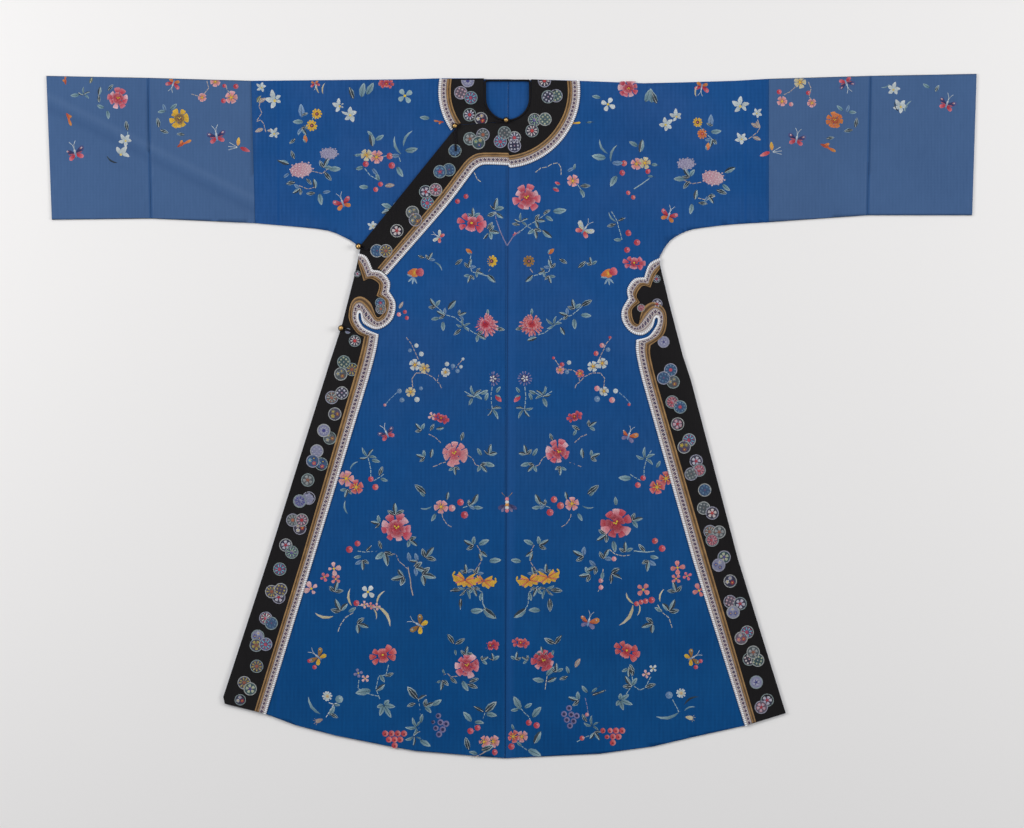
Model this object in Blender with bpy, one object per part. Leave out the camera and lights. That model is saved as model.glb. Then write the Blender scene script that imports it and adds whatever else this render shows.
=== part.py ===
"""A side-closing court robe of silk gauze, laid flat on its back with both sleeves out straight.

Sides are the wearer's: the wearer's right is at -X. Y runs from hem to shoulder, and the back
lies on the plane Z = 0. Every dimension below is in millimetres.
"""
import math

import bmesh
import bpy

MM = 0.001

# Cloth walls, and the gap between one layer and the next
WALL = 1.2
TRIM_WALL = 1.0
GAP = 0.3
LAYER = WALL + GAP

# The outer front lies on the inner front at the wearer's right and on the back at the left,
# so it steps down one layer between these two places beside the centre seam
STEP_HIGH_X = -60
STEP_LOW_X = -20

# The front's centre seam, at the neck and at the hem
SEAM_NECK_X = -11
SEAM_HEM_X = -13
HEM_CENTRE_Y = -690
BACK_SEAM_X = -7

# Neck opening: a round bottom below straight sides that rise to the shoulder fold
NECK_X = -8
NECK_HALF = 43
NECK_ARC_Y = 641
NECK_TOP_Y = 681
BINDING_RADIUS = 2.2

# Collar and borders
COLLAR_X = -11
COLLAR_Y = 655
COLLAR_RIGHT_RADIUS = 136
COLLAR_LEFT_RADIUS = 149
COLLAR_RIGHT_ANGLES = (174, 215)
COLLAR_LEFT_ANGLES = (4, -87)
TRIM_WIDTH = 24.5
BRAID_WIDTH = 8.5

# Sleeve seams and the cuff, from the shoulder outwards, as (low x, low y, high x, high y)
RIGHT_SEAMS = [(-517, 389, -525, 676), (-727, 398.5, -733, 682), (-927, 396, -938, 686)]
LEFT_SEAMS = [(519, 391, 519, 680), (718, 405, 724, 686), (929, 405, 938, 690)]

# Ball buttons and their cord loops
BALL_RADIUS = 5
CORD_RADIUS = 1.2
LOOP_RADIUS = 5.4

# Outlines, as (x, y)
RIGHT_SHOULDER = [(-525, 676), (-360, 677.5), (-213, 679), (-146, 681)]
LEFT_SHOULDER = [(137, 676), (267, 671), (352, 673), (451, 676), (519, 680)]
RIGHT_UNDERARM = [(-305, 336), (-317, 349), (-340, 362), (-370, 374), (-415, 380), (-471, 385), (-517, 389)]
LEFT_UNDERARM = [(299, 322), (319, 353), (353, 373), (395, 381), (452, 387), (519, 391)]
RIGHT_SIDE = [(-578, -580), (-581, -566), (-491, -290), (-366, 109), (-343, 179), (-316, 285)]
LEFT_SIDE = [(553, -599), (457, -290), (361.5, 73), (345, 123), (318, 227), (299, 306)]
RIGHT_HEM = [(-195, -675), (-260, -663), (-355, -644), (-436, -623), (-497, -600)]
LEFT_HEM = [(178, -681), (287, -666), (368, -647), (472, -624), (493, -616)]

# A stretch between two points of an outline is drawn straight when it is longer than this
LONG_RUN = 200

# The free edge of the overlap, from the neck to the underarm
OVERLAP_EDGE = [(-104, 586.7), (-121, 571), (-302, 347)]

# Trim where the collar's arms meet the shoulder fold, as (outer x, outer y, inner x, inner y)
COLLAR_RIGHT_TOP = (-145, 679, -120.5, 680)
COLLAR_LEFT_TOP = (137, 675, 112, 676)

# Trim down the overlap, as (outer x, outer y, inner x, inner y), from the collar to the underarm
LAPEL_TRIM = [
    (-30, 507, -30, 531),
    (-56, 507, -64, 530),
    (-68, 502, -80, 524),
    (-77, 494, -93, 513),
    (-88, 479.5, -108, 494),
    (-136, 417, -155, 433),
    (-250.5, 285.5, -270, 298),
]

# Trim of the scroll heads and slits, as (outer x, outer y, inner x, inner y, is a corner),
# from the top of the slit to the hem
RIGHT_SCROLL = [
    (-307, 327, -309, 309, True),
    (-292, 320, -304, 292, False),
    (-280, 294, -298, 272, True),
    (-261, 290, -284, 277, False),
    (-246, 271, -267, 265, False),
    (-247, 251, -272, 242, True),
    (-234, 226, -255, 232, False),
    (-242, 193, -260, 206, False),
    (-270, 175, -272, 200, False),
    (-298, 187, -284, 228, False),
    (-303, 206, -304, 241, False),
    (-308.5, 206, -322, 231, False),
    (-307, 191, -328, 197, False),
    (-295, 176, -313, 169, False),
    (-268, 164, -297, 160, True),
    (-289.5, 72.6, -319, 72.6, False),
    (-400, -290, -424, -290, False),
    (-495, -600.5, -518, -594.5, True),
]
LEFT_SCROLL = [
    (298, 318, 299, 297, True),
    (278, 306, 288, 280, False),
    (268, 279, 280, 259, True),
    (248, 276, 264, 262, False),
    (234, 257, 252, 243, False),
    (236, 237, 259, 229, True),
    (223, 213, 243, 214, False),
    (225, 190, 247, 190, False),
    (241, 169.5, 257, 186, False),
    (264, 163.5, 260, 203, False),
    (283, 178, 267, 220, False),
    (289, 196, 287, 230, False),
    (295, 197, 308, 216, False),
    (293, 183, 313, 190, False),
    (276, 160, 306, 163, False),
    (251.5, 153, 280, 142, True),
    (264, 72.6, 291.5, 72.6, False),
    (366, -290, 397, -290, False),
    (471, -624.5, 493, -616.5, True),
]

# How many drawn points of the right scroll's outer line the overlap's border ends along
LAPEL_FOOT_POINTS = 10

# Press creases of the right sleeve, as (x, y at one end, x, y at the other, height)
SLEEVE_CREASES = [(-842, 541, -729, 486, 1.8), (-731, 520, -524, 414, 2.2), (-901, 690, -899, 400, 1.0)]
CREASE_HALF_WIDTH = 24

# Ball buttons, as (name, x, y, height below the ball, height below its loop's end,
# the loop's length and heading)
BUTTONS = [
    ("neck", -11, 596, 5.9, 4.8, 21, 190),
    ("shoulder", -114, 584, 5.7, 5.7, 50, -88),
    ("underarm", -308, 342, 5.7, 5.7, 21, -20),
    ("side", -343, 177, 5.7, 5.7, 24, -16),
]

INK = (0.010, 0.009, 0.011, 1)
BODY_BLUE = (0.012, 0.075, 0.27, 1)
SLEEVE_BLUE = (0.062, 0.125, 0.29, 1)
BRAID_GOLD = (0.30, 0.16, 0.045, 1)
RIBBON_LILAC = (0.45, 0.42, 0.52, 1)
GILT = (0.78, 0.55, 0.22, 1)

for leftover in list(bpy.data.objects):
    bpy.data.objects.remove(leftover)
robe = bpy.data.collections.new("court_robe")
guides = bpy.data.collections.new("guides")
for group in (robe, guides):
    bpy.context.scene.collection.children.link(group)


def finish(name, colour, roughness, metallic=0.0):
    """A plain surface of one colour."""
    material = bpy.data.materials.new(name)
    material.use_nodes = True
    surface = material.node_tree.nodes["Principled BSDF"]
    surface.inputs["Base Color"].default_value = colour
    surface.inputs["Roughness"].default_value = roughness
    surface.inputs["Metallic"].default_value = metallic
    return material


def node(name, mesh, material, group=robe):
    """Adds a finished mesh to the robe as one named piece."""
    mesh.name = name
    mesh.materials.clear()
    mesh.materials.append(material)
    piece = bpy.data.objects.new(name, mesh)
    group.objects.link(piece)
    return piece


def on_table(x):
    """Underside of what lies at the bottom."""
    return 0


def on_back(x):
    """Underside of a front that lies straight on the back."""
    return LAYER


def outer_front(x):
    """Underside of the outer front, one layer higher where the inner front is below it."""
    share = (STEP_LOW_X - x) / (STEP_LOW_X - STEP_HIGH_X)
    return LAYER * (1 + min(max(share, 0), 1))


def above(lift, layers):
    """The same fall as lift, a number of layers further up."""
    return lambda x: lift(x) + layers * LAYER


def curve_mesh(name, data, points, cyclic):
    """Turns a curve through the points into a welded mesh, and removes the curve."""
    spline = data.splines.new("POLY")
    spline.points.add(len(points) - 1)
    for knot, point in zip(spline.points, points):
        x, y, z = (*point, 0)[:3]
        knot.co = (x * MM, y * MM, z * MM, 1)
    spline.use_cyclic_u = cyclic
    guide = bpy.data.objects.new(name + "_line", data)
    guides.objects.link(guide)
    mesh = bpy.data.meshes.new_from_object(guide.evaluated_get(bpy.context.evaluated_depsgraph_get()))
    bpy.data.objects.remove(guide)
    shape = bmesh.new()
    shape.from_mesh(mesh)
    bmesh.ops.remove_doubles(shape, verts=shape.verts, dist=0.00001)
    return mesh, shape


def cloth(name, outline, lift, wall, material, group=robe):
    """A flat piece of cloth of one wall, cut to an outline and lying at the height of lift."""
    data = bpy.data.curves.new(name, "CURVE")
    data.dimensions = "2D"
    data.fill_mode = "BOTH"
    data.extrude = wall * MM / 2
    mesh, shape = curve_mesh(name, data, outline, True)
    for x in (STEP_HIGH_X, STEP_LOW_X):
        everything = shape.verts[:] + shape.edges[:] + shape.faces[:]
        bmesh.ops.bisect_plane(shape, geom=everything, plane_co=(x * MM, 0, 0), plane_no=(1, 0, 0))
    for corner in shape.verts:
        corner.co.z += (wall / 2 + lift(corner.co.x / MM)) * MM
    bmesh.ops.triangulate(shape, faces=shape.faces[:])
    bmesh.ops.recalc_face_normals(shape, faces=shape.faces[:])
    shape.to_mesh(mesh)
    shape.free()
    return node(name, mesh, material, group)


def arc(x, y, radius, start, end, steps):
    """Points along a circle, from one angle in degrees to another."""
    angles = [math.radians(start + (end - start) * i / steps) for i in range(steps + 1)]
    return [(x + radius * math.cos(a), y + radius * math.sin(a)) for a in angles]


def neck(offset, start=180, end=360, steps=12):
    """Points round the bottom of the neck opening, a distance outside its edge."""
    return arc(NECK_X, NECK_ARC_Y, NECK_HALF + offset, start, end, steps)


def eased(points, corners, steps=3):
    """Draws a smooth line through the points, which turns sharply only at the corners."""
    drawn = [points[0]]
    for i in range(len(points) - 1):
        here, there = points[i], points[i + 1]
        before = here if i in corners else points[i - 1]
        after = there if i + 1 in corners else points[i + 2]
        pieces = 1 if math.dist(here[:2], there[:2]) > LONG_RUN else steps
        for step in range(1, pieces + 1):
            t = step / pieces
            values = []
            for a, b, c, d in zip(before, here, there, after):
                bend = (2 * a - 5 * b + 4 * c - d) * t ** 2 + (3 * b - a - 3 * c + d) * t ** 3
                values.append(b + 0.5 * ((c - a) * t + bend))
            drawn.append(tuple(values))
    return drawn


def scroll(rows):
    """The smooth lines of a scroll head and slit, from its rows."""
    return eased([row[:4] for row in rows], [i for i, row in enumerate(rows) if row[4]])


def across(rows, share):
    """The line that runs along the rows at a share of the way from outer to inner edge."""
    return [(ox + (ix - ox) * share, oy + (iy - oy) * share) for ox, oy, ix, iy in rows]


def collar_arm(radius, start, end, steps):
    """Rows of the collar's trim, along a stretch of its round outer edge."""
    outer = arc(COLLAR_X, COLLAR_Y, radius, start, end, steps)
    inner = arc(COLLAR_X, COLLAR_Y, radius - TRIM_WIDTH, start, end, steps)
    return [(*here, *there) for here, there in zip(outer, inner)]


def trim(side, rows, lift):
    """The patterned ribbon and the gold braid that lie side by side along a border."""
    split = 1 - BRAID_WIDTH / TRIM_WIDTH
    part = GAP / TRIM_WIDTH
    ribbon = across(rows, 0) + across(rows, split)[::-1]
    braid = across(rows, split + part) + across(rows, 1)[::-1]
    cloth("ribbon_" + side, ribbon, above(lift, 2), TRIM_WALL, lilac)
    cloth("braid_" + side, braid, above(lift, 2), TRIM_WALL, gold)


def shoulder_fold(front, edge):
    """Turns the top edge of a front down to the back's underside, as the cloth folds there."""
    inside = [(x, y - WALL) for x, y in edge]
    lip = cloth(front.name + "_lip", edge + inside[::-1], on_table, LAYER + WALL / 2, blue, guides)
    join = front.modifiers.new("fold", "BOOLEAN")
    join.operation = "UNION"
    join.solver = "EXACT"
    join.object = lip
    lip.hide_render = True
    lip.display_type = "WIRE"


def crease_height(x, y):
    """How far the press creases lift the upper layer of a sleeve at a place."""
    height = 0
    for ax, ay, bx, by, top in SLEEVE_CREASES:
        run, rise = bx - ax, by - ay
        along = ((x - ax) * run + (y - ay) * rise) / (run ** 2 + rise ** 2)
        aside = abs((x - ax) * rise - (y - ay) * run) / math.hypot(run, rise)
        if 0 < along < 1 and aside < CREASE_HALF_WIDTH:
            ends = min(1, 5 * along, 5 * (1 - along))
            height = max(height, top * ends * (1 - aside / CREASE_HALF_WIDTH))
    return height


def sleeve(name, start, end, lengths, rows):
    """A flattened tube from one seam to the next, open at both ends, with its creases."""
    shape = bmesh.new()
    rings = []
    for i in range(lengths + 1):
        low_x, low_y, high_x, high_y = (a + (b - a) * i / lengths for a, b in zip(start, end))
        ring = []
        for inset in (0, WALL):
            edge = inset / (high_y - low_y)
            shares = [edge + (1 - 2 * edge) * k / rows for k in range(rows + 1)]
            line = [(low_x + (high_x - low_x) * t, low_y + (high_y - low_y) * t) for t in shares]
            lifts = [0] + [crease_height(x, y) for x, y in line[1:-1]] + [0]
            under = [(x, y, inset) for x, y in line]
            over = [(x, y, LAYER + WALL - inset + lift) for (x, y), lift in zip(line, lifts)]
            ring.append([shape.verts.new((x * MM, y * MM, z * MM)) for x, y, z in under + over[::-1]])
        rings.append(ring)
    count = len(rings[0][0])
    for k in range(count):
        n = (k + 1) % count
        for (outer_a, inner_a), (outer_b, inner_b) in zip(rings, rings[1:]):
            shape.faces.new((outer_a[k], outer_b[k], outer_b[n], outer_a[n]))
            shape.faces.new((inner_a[k], inner_a[n], inner_b[n], inner_b[k]))
        for outer, inner in (rings[0], rings[-1]):
            shape.faces.new((outer[k], outer[n], inner[n], inner[k]))
    bmesh.ops.triangulate(shape, faces=shape.faces[:])
    bmesh.ops.recalc_face_normals(shape, faces=shape.faces[:])
    mesh = bpy.data.meshes.new(name)
    shape.to_mesh(mesh)
    shape.free()
    node(name, mesh, pale_blue)


def cord(name, points, radius, cyclic, material):
    """A round cord along a line of (x, y, z) points."""
    data = bpy.data.curves.new(name, "CURVE")
    data.dimensions = "3D"
    data.bevel_depth = radius * MM
    data.bevel_resolution = 2
    data.use_fill_caps = not cyclic
    mesh, shape = curve_mesh(name, data, points, cyclic)
    bmesh.ops.recalc_face_normals(shape, faces=shape.faces[:])
    for face in shape.faces:
        face.smooth = True
    shape.to_mesh(mesh)
    shape.free()
    node(name, mesh, material)


def button(name, x, y, seat, foot, length, heading):
    """A gilt ball that rests on the cloth, and the dark cord loop round its foot."""
    mesh = bpy.data.meshes.new("button_" + name)
    ball = bmesh.new()
    bmesh.ops.create_uvsphere(ball, u_segments=16, v_segments=10, radius=BALL_RADIUS * MM)
    for face in ball.faces:
        face.smooth = True
    ball.to_mesh(mesh)
    ball.free()
    piece = node("button_" + name, mesh, gilt)
    piece.location = (x * MM, y * MM, (seat + GAP + BALL_RADIUS) * MM)
    turn = math.radians(heading)
    strand = CORD_RADIUS + GAP / 2
    flat = ([(length, -strand), (2 * LOOP_RADIUS, -strand)]
            + arc(0, 0, LOOP_RADIUS, -40, -320, 10)
            + [(2 * LOOP_RADIUS, strand), (length, strand)])
    line = []
    for along, aside in flat:
        drop = (seat - foot) * min(max((along - LOOP_RADIUS) / (length - LOOP_RADIUS), 0), 1)
        line.append((x + along * math.cos(turn) - aside * math.sin(turn),
                     y + along * math.sin(turn) + aside * math.cos(turn),
                     seat - drop + GAP + CORD_RADIUS))
    cord("loop_" + name, line, CORD_RADIUS, False, ink)


ink = finish("black_satin", INK, 0.6)
blue = finish("blue_gauze", BODY_BLUE, 0.7)
pale_blue = finish("pale_blue_gauze", SLEEVE_BLUE, 0.7)
gold = finish("gold_braid", BRAID_GOLD, 0.55)
lilac = finish("patterned_ribbon", RIBBON_LILAC, 0.65)
gilt = finish("gilt_brass", GILT, 0.3, 1.0)

# Edges that several pieces share: the cloth stays clear of the neck's binding, and each
# shoulder runs from the sleeve seam to the neck
neck_offset = 2 * BINDING_RADIUS + GAP
neck_foot_y = NECK_ARC_Y - NECK_HALF - neck_offset - GAP
right_top = RIGHT_SHOULDER + [(NECK_X - NECK_HALF - neck_offset, NECK_TOP_Y)]
left_top = [(NECK_X + NECK_HALF + neck_offset, NECK_TOP_Y - 2)] + LEFT_SHOULDER
right_underarm = eased(RIGHT_UNDERARM, (0, len(RIGHT_UNDERARM) - 1), 2)
left_underarm = eased(LEFT_UNDERARM, (0, len(LEFT_UNDERARM) - 1), 3)
right_rim = RIGHT_HEM + RIGHT_SIDE + right_underarm
left_rim = left_underarm[::-1] + LEFT_SIDE[::-1] + LEFT_HEM[::-1]
half_gap = GAP / 2

# Back: two loom widths with a centre seam, stopping short of the shoulder fold
fold = WALL + GAP
cloth("back_right",
      [(x, y - fold) for x, y in right_top] + [(BACK_SEAM_X - half_gap, NECK_TOP_Y - fold)]
      + [(SEAM_HEM_X - half_gap, HEM_CENTRE_Y)] + right_rim,
      on_table, WALL, blue)
cloth("back_left",
      [(BACK_SEAM_X + half_gap, NECK_TOP_Y - fold)] + [(x, y - fold) for x, y in left_top]
      + left_rim + [(SEAM_HEM_X + half_gap, HEM_CENTRE_Y)],
      on_table, WALL, blue)

# Inner right front, with the right shoulder; its free edge is hidden below the overlap
free_edge_x = STEP_HIGH_X - WALL
under = cloth("front_right_under",
              right_top + neck(neck_offset, 180, 198, 2)
              + [(free_edge_x, 590), (free_edge_x, HEM_CENTRE_Y + 4)] + right_rim,
              on_back, WALL, blue)
shoulder_fold(under, right_top)

# Left front, from the centre seam to the left sleeve seam
left = cloth("front_left",
             left_top + left_rim
             + [(SEAM_HEM_X + half_gap, HEM_CENTRE_Y), (SEAM_NECK_X + half_gap, neck_foot_y)]
             + neck(neck_offset, 270, 360, 8),
             outer_front, WALL, blue)
shoulder_fold(left, left_top)

# Overlap, seamed to the left front and fastened at the right side
cloth("front_right_over",
      [(SEAM_NECK_X - half_gap, neck_foot_y)] + OVERLAP_EDGE + RIGHT_UNDERARM[:1] + RIGHT_SIDE[::-1]
      + RIGHT_HEM[::-1] + [(SEAM_HEM_X - half_gap, HEM_CENTRE_Y)],
      outer_front, WALL, blue)

# Sleeve lengths beyond the shoulder pieces, parted from each other at their seams; the creased
# sleeve is divided more finely, as (side, seams, direction of the cuff, lengths, rows)
SLEEVES = [("right", RIGHT_SEAMS, -1, 10, 11), ("left", LEFT_SEAMS, 1, 2, 4)]
for side, seams, outwards, lengths, rows in SLEEVES:
    part = outwards * half_gap
    for i, length in enumerate(("mid", "end")):
        last = 0 if length == "end" else part
        start = [value + (part if column in (0, 2) else 0) for column, value in enumerate(seams[i])]
        end = [value - (last if column in (0, 2) else 0) for column, value in enumerate(seams[i + 1])]
        sleeve("sleeve_" + length + "_" + side, start, end, lengths, rows)

# Neck binding: a closed roll round the opening, which runs along the fold at the back
roll_x = NECK_HALF + BINDING_RADIUS
roll_y = NECK_TOP_Y - 2 * BINDING_RADIUS
turn_in = 3
roll = neck(BINDING_RADIUS, steps=16) + [
    (NECK_X + roll_x, roll_y - turn_in),
    (NECK_X + roll_x - turn_in, roll_y),
    (NECK_X - roll_x + turn_in, roll_y),
    (NECK_X - roll_x, roll_y - turn_in),
]
cord("neck_binding", [(x, y, LAYER + BINDING_RADIUS) for x, y in roll], BINDING_RADIUS, True, ink)

# The lines of both scroll heads; the overlap's border ends along the first lobes of the right one
right_scroll = scroll(RIGHT_SCROLL)
left_scroll = scroll(LEFT_SCROLL)
lapel_foot = [(x + 2 * GAP, y + 2 * GAP) for x, y in across(right_scroll, 0)[LAPEL_FOOT_POINTS::-1]]

# Both arms of the collar's trim, each from the shoulder fold round to where the overlap starts
right_arm = [COLLAR_RIGHT_TOP] + collar_arm(COLLAR_RIGHT_RADIUS, *COLLAR_RIGHT_ANGLES, 6)
left_arm = [COLLAR_LEFT_TOP] + collar_arm(COLLAR_LEFT_RADIUS, *COLLAR_LEFT_ANGLES, 18)

# Collar: the short arm on the inner front, and the long one that runs on down the overlap
cloth("collar_border_right",
      [(NECK_X - NECK_HALF - neck_offset, NECK_TOP_Y - half_gap)] + neck(neck_offset, 180, 262, 8)
      + [(x, y + 2 * GAP) for x, y in OVERLAP_EDGE[:1]] + across(right_arm, 0)[::-1],
      above(on_back, 1), WALL, ink)
cloth("collar_lapel_border",
      across(left_arm + LAPEL_TRIM[:-1], 0) + lapel_foot + RIGHT_UNDERARM[:1] + OVERLAP_EDGE[::-1]
      + [(SEAM_NECK_X, neck_foot_y)] + neck(neck_offset, 270, 360, 8) + left_top[:1],
      above(outer_front, 1), WALL, ink)

# Slit borders, from the scroll head to the hem, out to the side edge
cloth("slit_border_right", across(right_scroll, 0) + RIGHT_SIDE, above(outer_front, 1), WALL, ink)
cloth("slit_border_left", across(left_scroll, 0) + LEFT_SIDE, above(outer_front, 1), WALL, ink)

# Ribbon and braid along each border
trim("collar_right", right_arm, on_back)
trim("collar_lapel", left_arm + LAPEL_TRIM, outer_front)
trim("slit_right", right_scroll, outer_front)
trim("slit_left", left_scroll, outer_front)

for row in BUTTONS:
    button(*row)
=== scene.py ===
import math
import random

import bmesh
import bpy
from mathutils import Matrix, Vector


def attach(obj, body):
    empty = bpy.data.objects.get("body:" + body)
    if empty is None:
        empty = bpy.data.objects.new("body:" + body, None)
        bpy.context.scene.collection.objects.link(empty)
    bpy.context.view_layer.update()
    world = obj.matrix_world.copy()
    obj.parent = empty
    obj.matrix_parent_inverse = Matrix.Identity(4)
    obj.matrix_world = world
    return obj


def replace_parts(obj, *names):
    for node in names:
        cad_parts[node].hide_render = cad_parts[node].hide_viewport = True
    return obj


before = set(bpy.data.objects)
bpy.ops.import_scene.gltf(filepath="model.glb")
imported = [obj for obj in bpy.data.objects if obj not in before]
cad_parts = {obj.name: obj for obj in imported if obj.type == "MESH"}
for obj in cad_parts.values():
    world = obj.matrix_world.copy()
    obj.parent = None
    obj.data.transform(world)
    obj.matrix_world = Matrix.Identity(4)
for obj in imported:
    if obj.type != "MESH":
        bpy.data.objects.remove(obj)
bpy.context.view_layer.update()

# Camera and studio. The robe lies on a pale sheet of paper and is looked at from straight above,
# so the frame is a plain rectangle of the robe's own plane. Big soft lights stand on both sides.
PIXEL = 0.0020175
MIDDLE_COLUMN, MIDDLE_ROW = 511.5, 416
FRAME_COLUMNS, FRAME_ROWS = 1024, 828
CAMERA_HEIGHT = 5.8
SENSOR_WIDTH = 36
PAPER = (0.83, 0.815, 0.80, 1)
PAPER_LEVEL = -0.0006
DAYLIGHT = (0.93, 0.95, 1.0, 1)
# Each light, as (x, y, height, size, watts)
LIGHTS = [(-3.2, 1.0, 2.4, 1.6, 85), (3.4, 0.7, 2.4, 1.6, 72), (0.2, 3.6, 3.4, 2.4, 47)]


def at(column, row):
    """The place on the robe, in metres, of a pixel of the photograph."""
    return (column - MIDDLE_COLUMN) * PIXEL, (MIDDLE_ROW - row) * PIXEL


def add_object(name, data):
    """Puts a mesh, a curve, a light or the camera in the scene."""
    added = bpy.data.objects.new(name, data)
    bpy.context.scene.collection.objects.link(added)
    return added


def fill(node, **values):
    """Gives a node's inputs their values, or links to them; an underscore stands for a space."""
    for label, value in values.items():
        socket = node.inputs[label.replace("_", " ")]
        if isinstance(value, bpy.types.NodeSocket):
            node.id_data.links.new(value, socket)
        else:
            socket.default_value = value
    return node


def new_finish(name):
    """A new material, and its surface shader."""
    material = bpy.data.materials.new(name)
    material.use_nodes = True
    return material, material.node_tree.nodes["Principled BSDF"]


camera_data = bpy.data.cameras.new("camera")
camera_data.sensor_width = SENSOR_WIDTH
camera_data.lens = SENSOR_WIDTH * CAMERA_HEIGHT / (FRAME_COLUMNS * PIXEL)
camera_data.clip_end = 50
camera = add_object("camera", camera_data)
camera.location = (*at(FRAME_COLUMNS / 2, FRAME_ROWS / 2), CAMERA_HEIGHT)
bpy.context.scene.camera = camera
bpy.context.scene.view_settings.view_transform = "Standard"

floor_shape = bmesh.new()
bmesh.ops.create_grid(floor_shape, x_segments=1, y_segments=1, size=9)
bmesh.ops.translate(floor_shape, verts=floor_shape.verts, vec=(0, 0, PAPER_LEVEL))
floor_mesh = bpy.data.meshes.new("paper_floor")
floor_shape.to_mesh(floor_mesh)
floor_shape.free()
paper_floor = add_object("paper_floor", floor_mesh)
paper, paper_surface = new_finish("paper")
fill(paper_surface, Base_Color=PAPER, Roughness=0.9, Specular_IOR_Level=0.1)
floor_mesh.materials.append(paper)

for number, (x, y, height, size, watts) in enumerate(LIGHTS):
    light_data = bpy.data.lights.new(f"softbox_{number}", "AREA")
    light_data.shape = "SQUARE"
    light_data.size = size
    light_data.energy = watts
    light = add_object(f"softbox_{number}", light_data)
    light.location = (x, y, height)
    light.rotation_euler = (-light.location).to_track_quat("-Z", "Y").to_euler()
sky = bpy.data.worlds.new("studio")
sky.use_nodes = True
fill(sky.node_tree.nodes["Background"], Color=DAYLIGHT, Strength=0.32)
bpy.context.scene.world = sky

# Gauze of the body: the back and the fronts, woven of blue silk so open that a fine grid of
# threads shows. The robe has been pressed and stored flat, so low ridges cross it.
BODY_BLUE = (0.010, 0.078, 0.255, 1)
BODY_SHADE = (0.0012, 0.034, 0.135, 1)
SKIRT_TONE = (0.2, 0.87, 0.88, 1)
WORN_TONE = (3.0, 1.22, 1.10, 1)
GAUZE_WALL = 0.0006
WEAVE_CELL = 0.016
RIDGE_LIMIT = 0.0024
# Above this height lies a front's upper face, and not the foot of the fold along its edge
FRONT_LEVEL = 0.0014
# Pressed ridges, as (column and row at one end, at the other, half width, height in metres)
RIDGES = [
    (92, 147, 152, 176, 0.011, 0.0016), (148, 157, 255, 212, 0.012, 0.0019),
    (120, 196, 170, 172, 0.010, 0.0006), (66, 78, 66, 217, 0.004, 0.0005),
    (93, 78, 94, 217, 0.004, 0.0004), (283, 82, 284, 222, 0.005, 0.0004),
    (344, 82, 352, 190, 0.009, 0.0005), (744, 84, 742, 218, 0.004, 0.0005),
    (870, 80, 866, 214, 0.005, 0.0004), (700, 84, 650, 190, 0.010, 0.0005),
    (936, 84, 934, 212, 0.004, 0.0003), (507, 170, 504, 756, 0.004, 0.0005),
    (455, 185, 380, 300, 0.012, 0.0006), (590, 110, 640, 240, 0.014, 0.0006),
    (330, 500, 470, 620, 0.018, 0.0006), (690, 520, 560, 640, 0.020, 0.0005),
    (260, 706, 330, 560, 0.012, 0.0005), (742, 716, 700, 600, 0.012, 0.0006),
    (420, 752, 440, 640, 0.014, 0.0006), (610, 748, 590, 650, 0.013, 0.0005),
    (400, 300, 480, 420, 0.020, 0.0004), (640, 420, 560, 470, 0.018, 0.0004),
]


def ridge_height(x, y):
    """How far the pressed ridges lift the upper layer at a place on the robe."""
    height = 0.0
    for column_a, row_a, column_b, row_b, half_width, top in RIDGES:
        (ax, ay), (bx, by) = at(column_a, row_a), at(column_b, row_b)
        run, rise = bx - ax, by - ay
        along = ((x - ax) * run + (y - ay) * rise) / (run * run + rise * rise)
        if -0.1 < along < 1.1:
            aside = abs((x - ax) * rise - (y - ay) * run) / math.hypot(run, rise)
            if aside < 3 * half_width:
                fade = min(1, (along + 0.1) * 4, (1.1 - along) * 4)
                height += top * fade * math.exp(-(aside / half_width) ** 2)
    return min(height, RIDGE_LIMIT)


def copied_faces(node_name, keep):
    """A merged copy of a CAD piece's faces, of which only those that keep chooses are left."""
    shape = bmesh.new()
    shape.from_mesh(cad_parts[node_name].data)
    bmesh.ops.remove_doubles(shape, verts=shape.verts, dist=0.00002)
    unwanted = [face for face in shape.faces if not keep(face)]
    bmesh.ops.delete(shape, geom=unwanted, context="FACES")
    return shape


def cut_across(shape, place, normal, **options):
    """Cuts a shape along a plane."""
    everything = shape.verts[:] + shape.edges[:] + shape.faces[:]
    bmesh.ops.bisect_plane(shape, geom=everything, plane_co=place, plane_no=normal, **options)


def cut_in_cells(shape, cell):
    """Cuts a flat piece along an even grid, so that it can bend."""
    for axis, normal in enumerate((Vector((1, 0, 0)), Vector((0, 1, 0)))):
        places = [vert.co[axis] for vert in shape.verts]
        for step in range(math.ceil(min(places) / cell), math.ceil(max(places) / cell)):
            cut_across(shape, normal * step * cell, normal)


def finish_piece(shape, name, material, wall=None, smooth=True):
    """Makes an object of the shape, which rides on the robe's one body."""
    for face in shape.faces:
        face.smooth = smooth
    mesh = bpy.data.meshes.new(name)
    shape.to_mesh(mesh)
    shape.free()
    mesh.materials.append(material)
    piece = add_object(name, mesh)
    if wall:
        thickness = piece.modifiers.new("wall", "SOLIDIFY")
        thickness.thickness = wall
        thickness.offset = -1
    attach(piece, "root")
    return piece


def new_group(name, inputs, outputs):
    """An empty shader node group with named inputs, each with its first value, and outputs."""
    group = bpy.data.node_groups.new(name, "ShaderNodeTree")
    sockets = [(label, "INPUT") for label in inputs] + [(label, "OUTPUT") for label in outputs]
    for label, way in sockets:
        kind = "NodeSocketColor" if label.endswith("Color") else "NodeSocketFloat"
        socket = group.interface.new_socket(label, in_out=way, socket_type=kind)
        if way == "INPUT":
            socket.default_value = inputs[label]
    return group, group.nodes.new("NodeGroupInput").outputs, group.nodes.new("NodeGroupOutput")


def add_node(tree, kind, **values):
    """A shader node with its inputs filled."""
    return fill(tree.nodes.new(f"ShaderNode{kind}"), **values)


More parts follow.
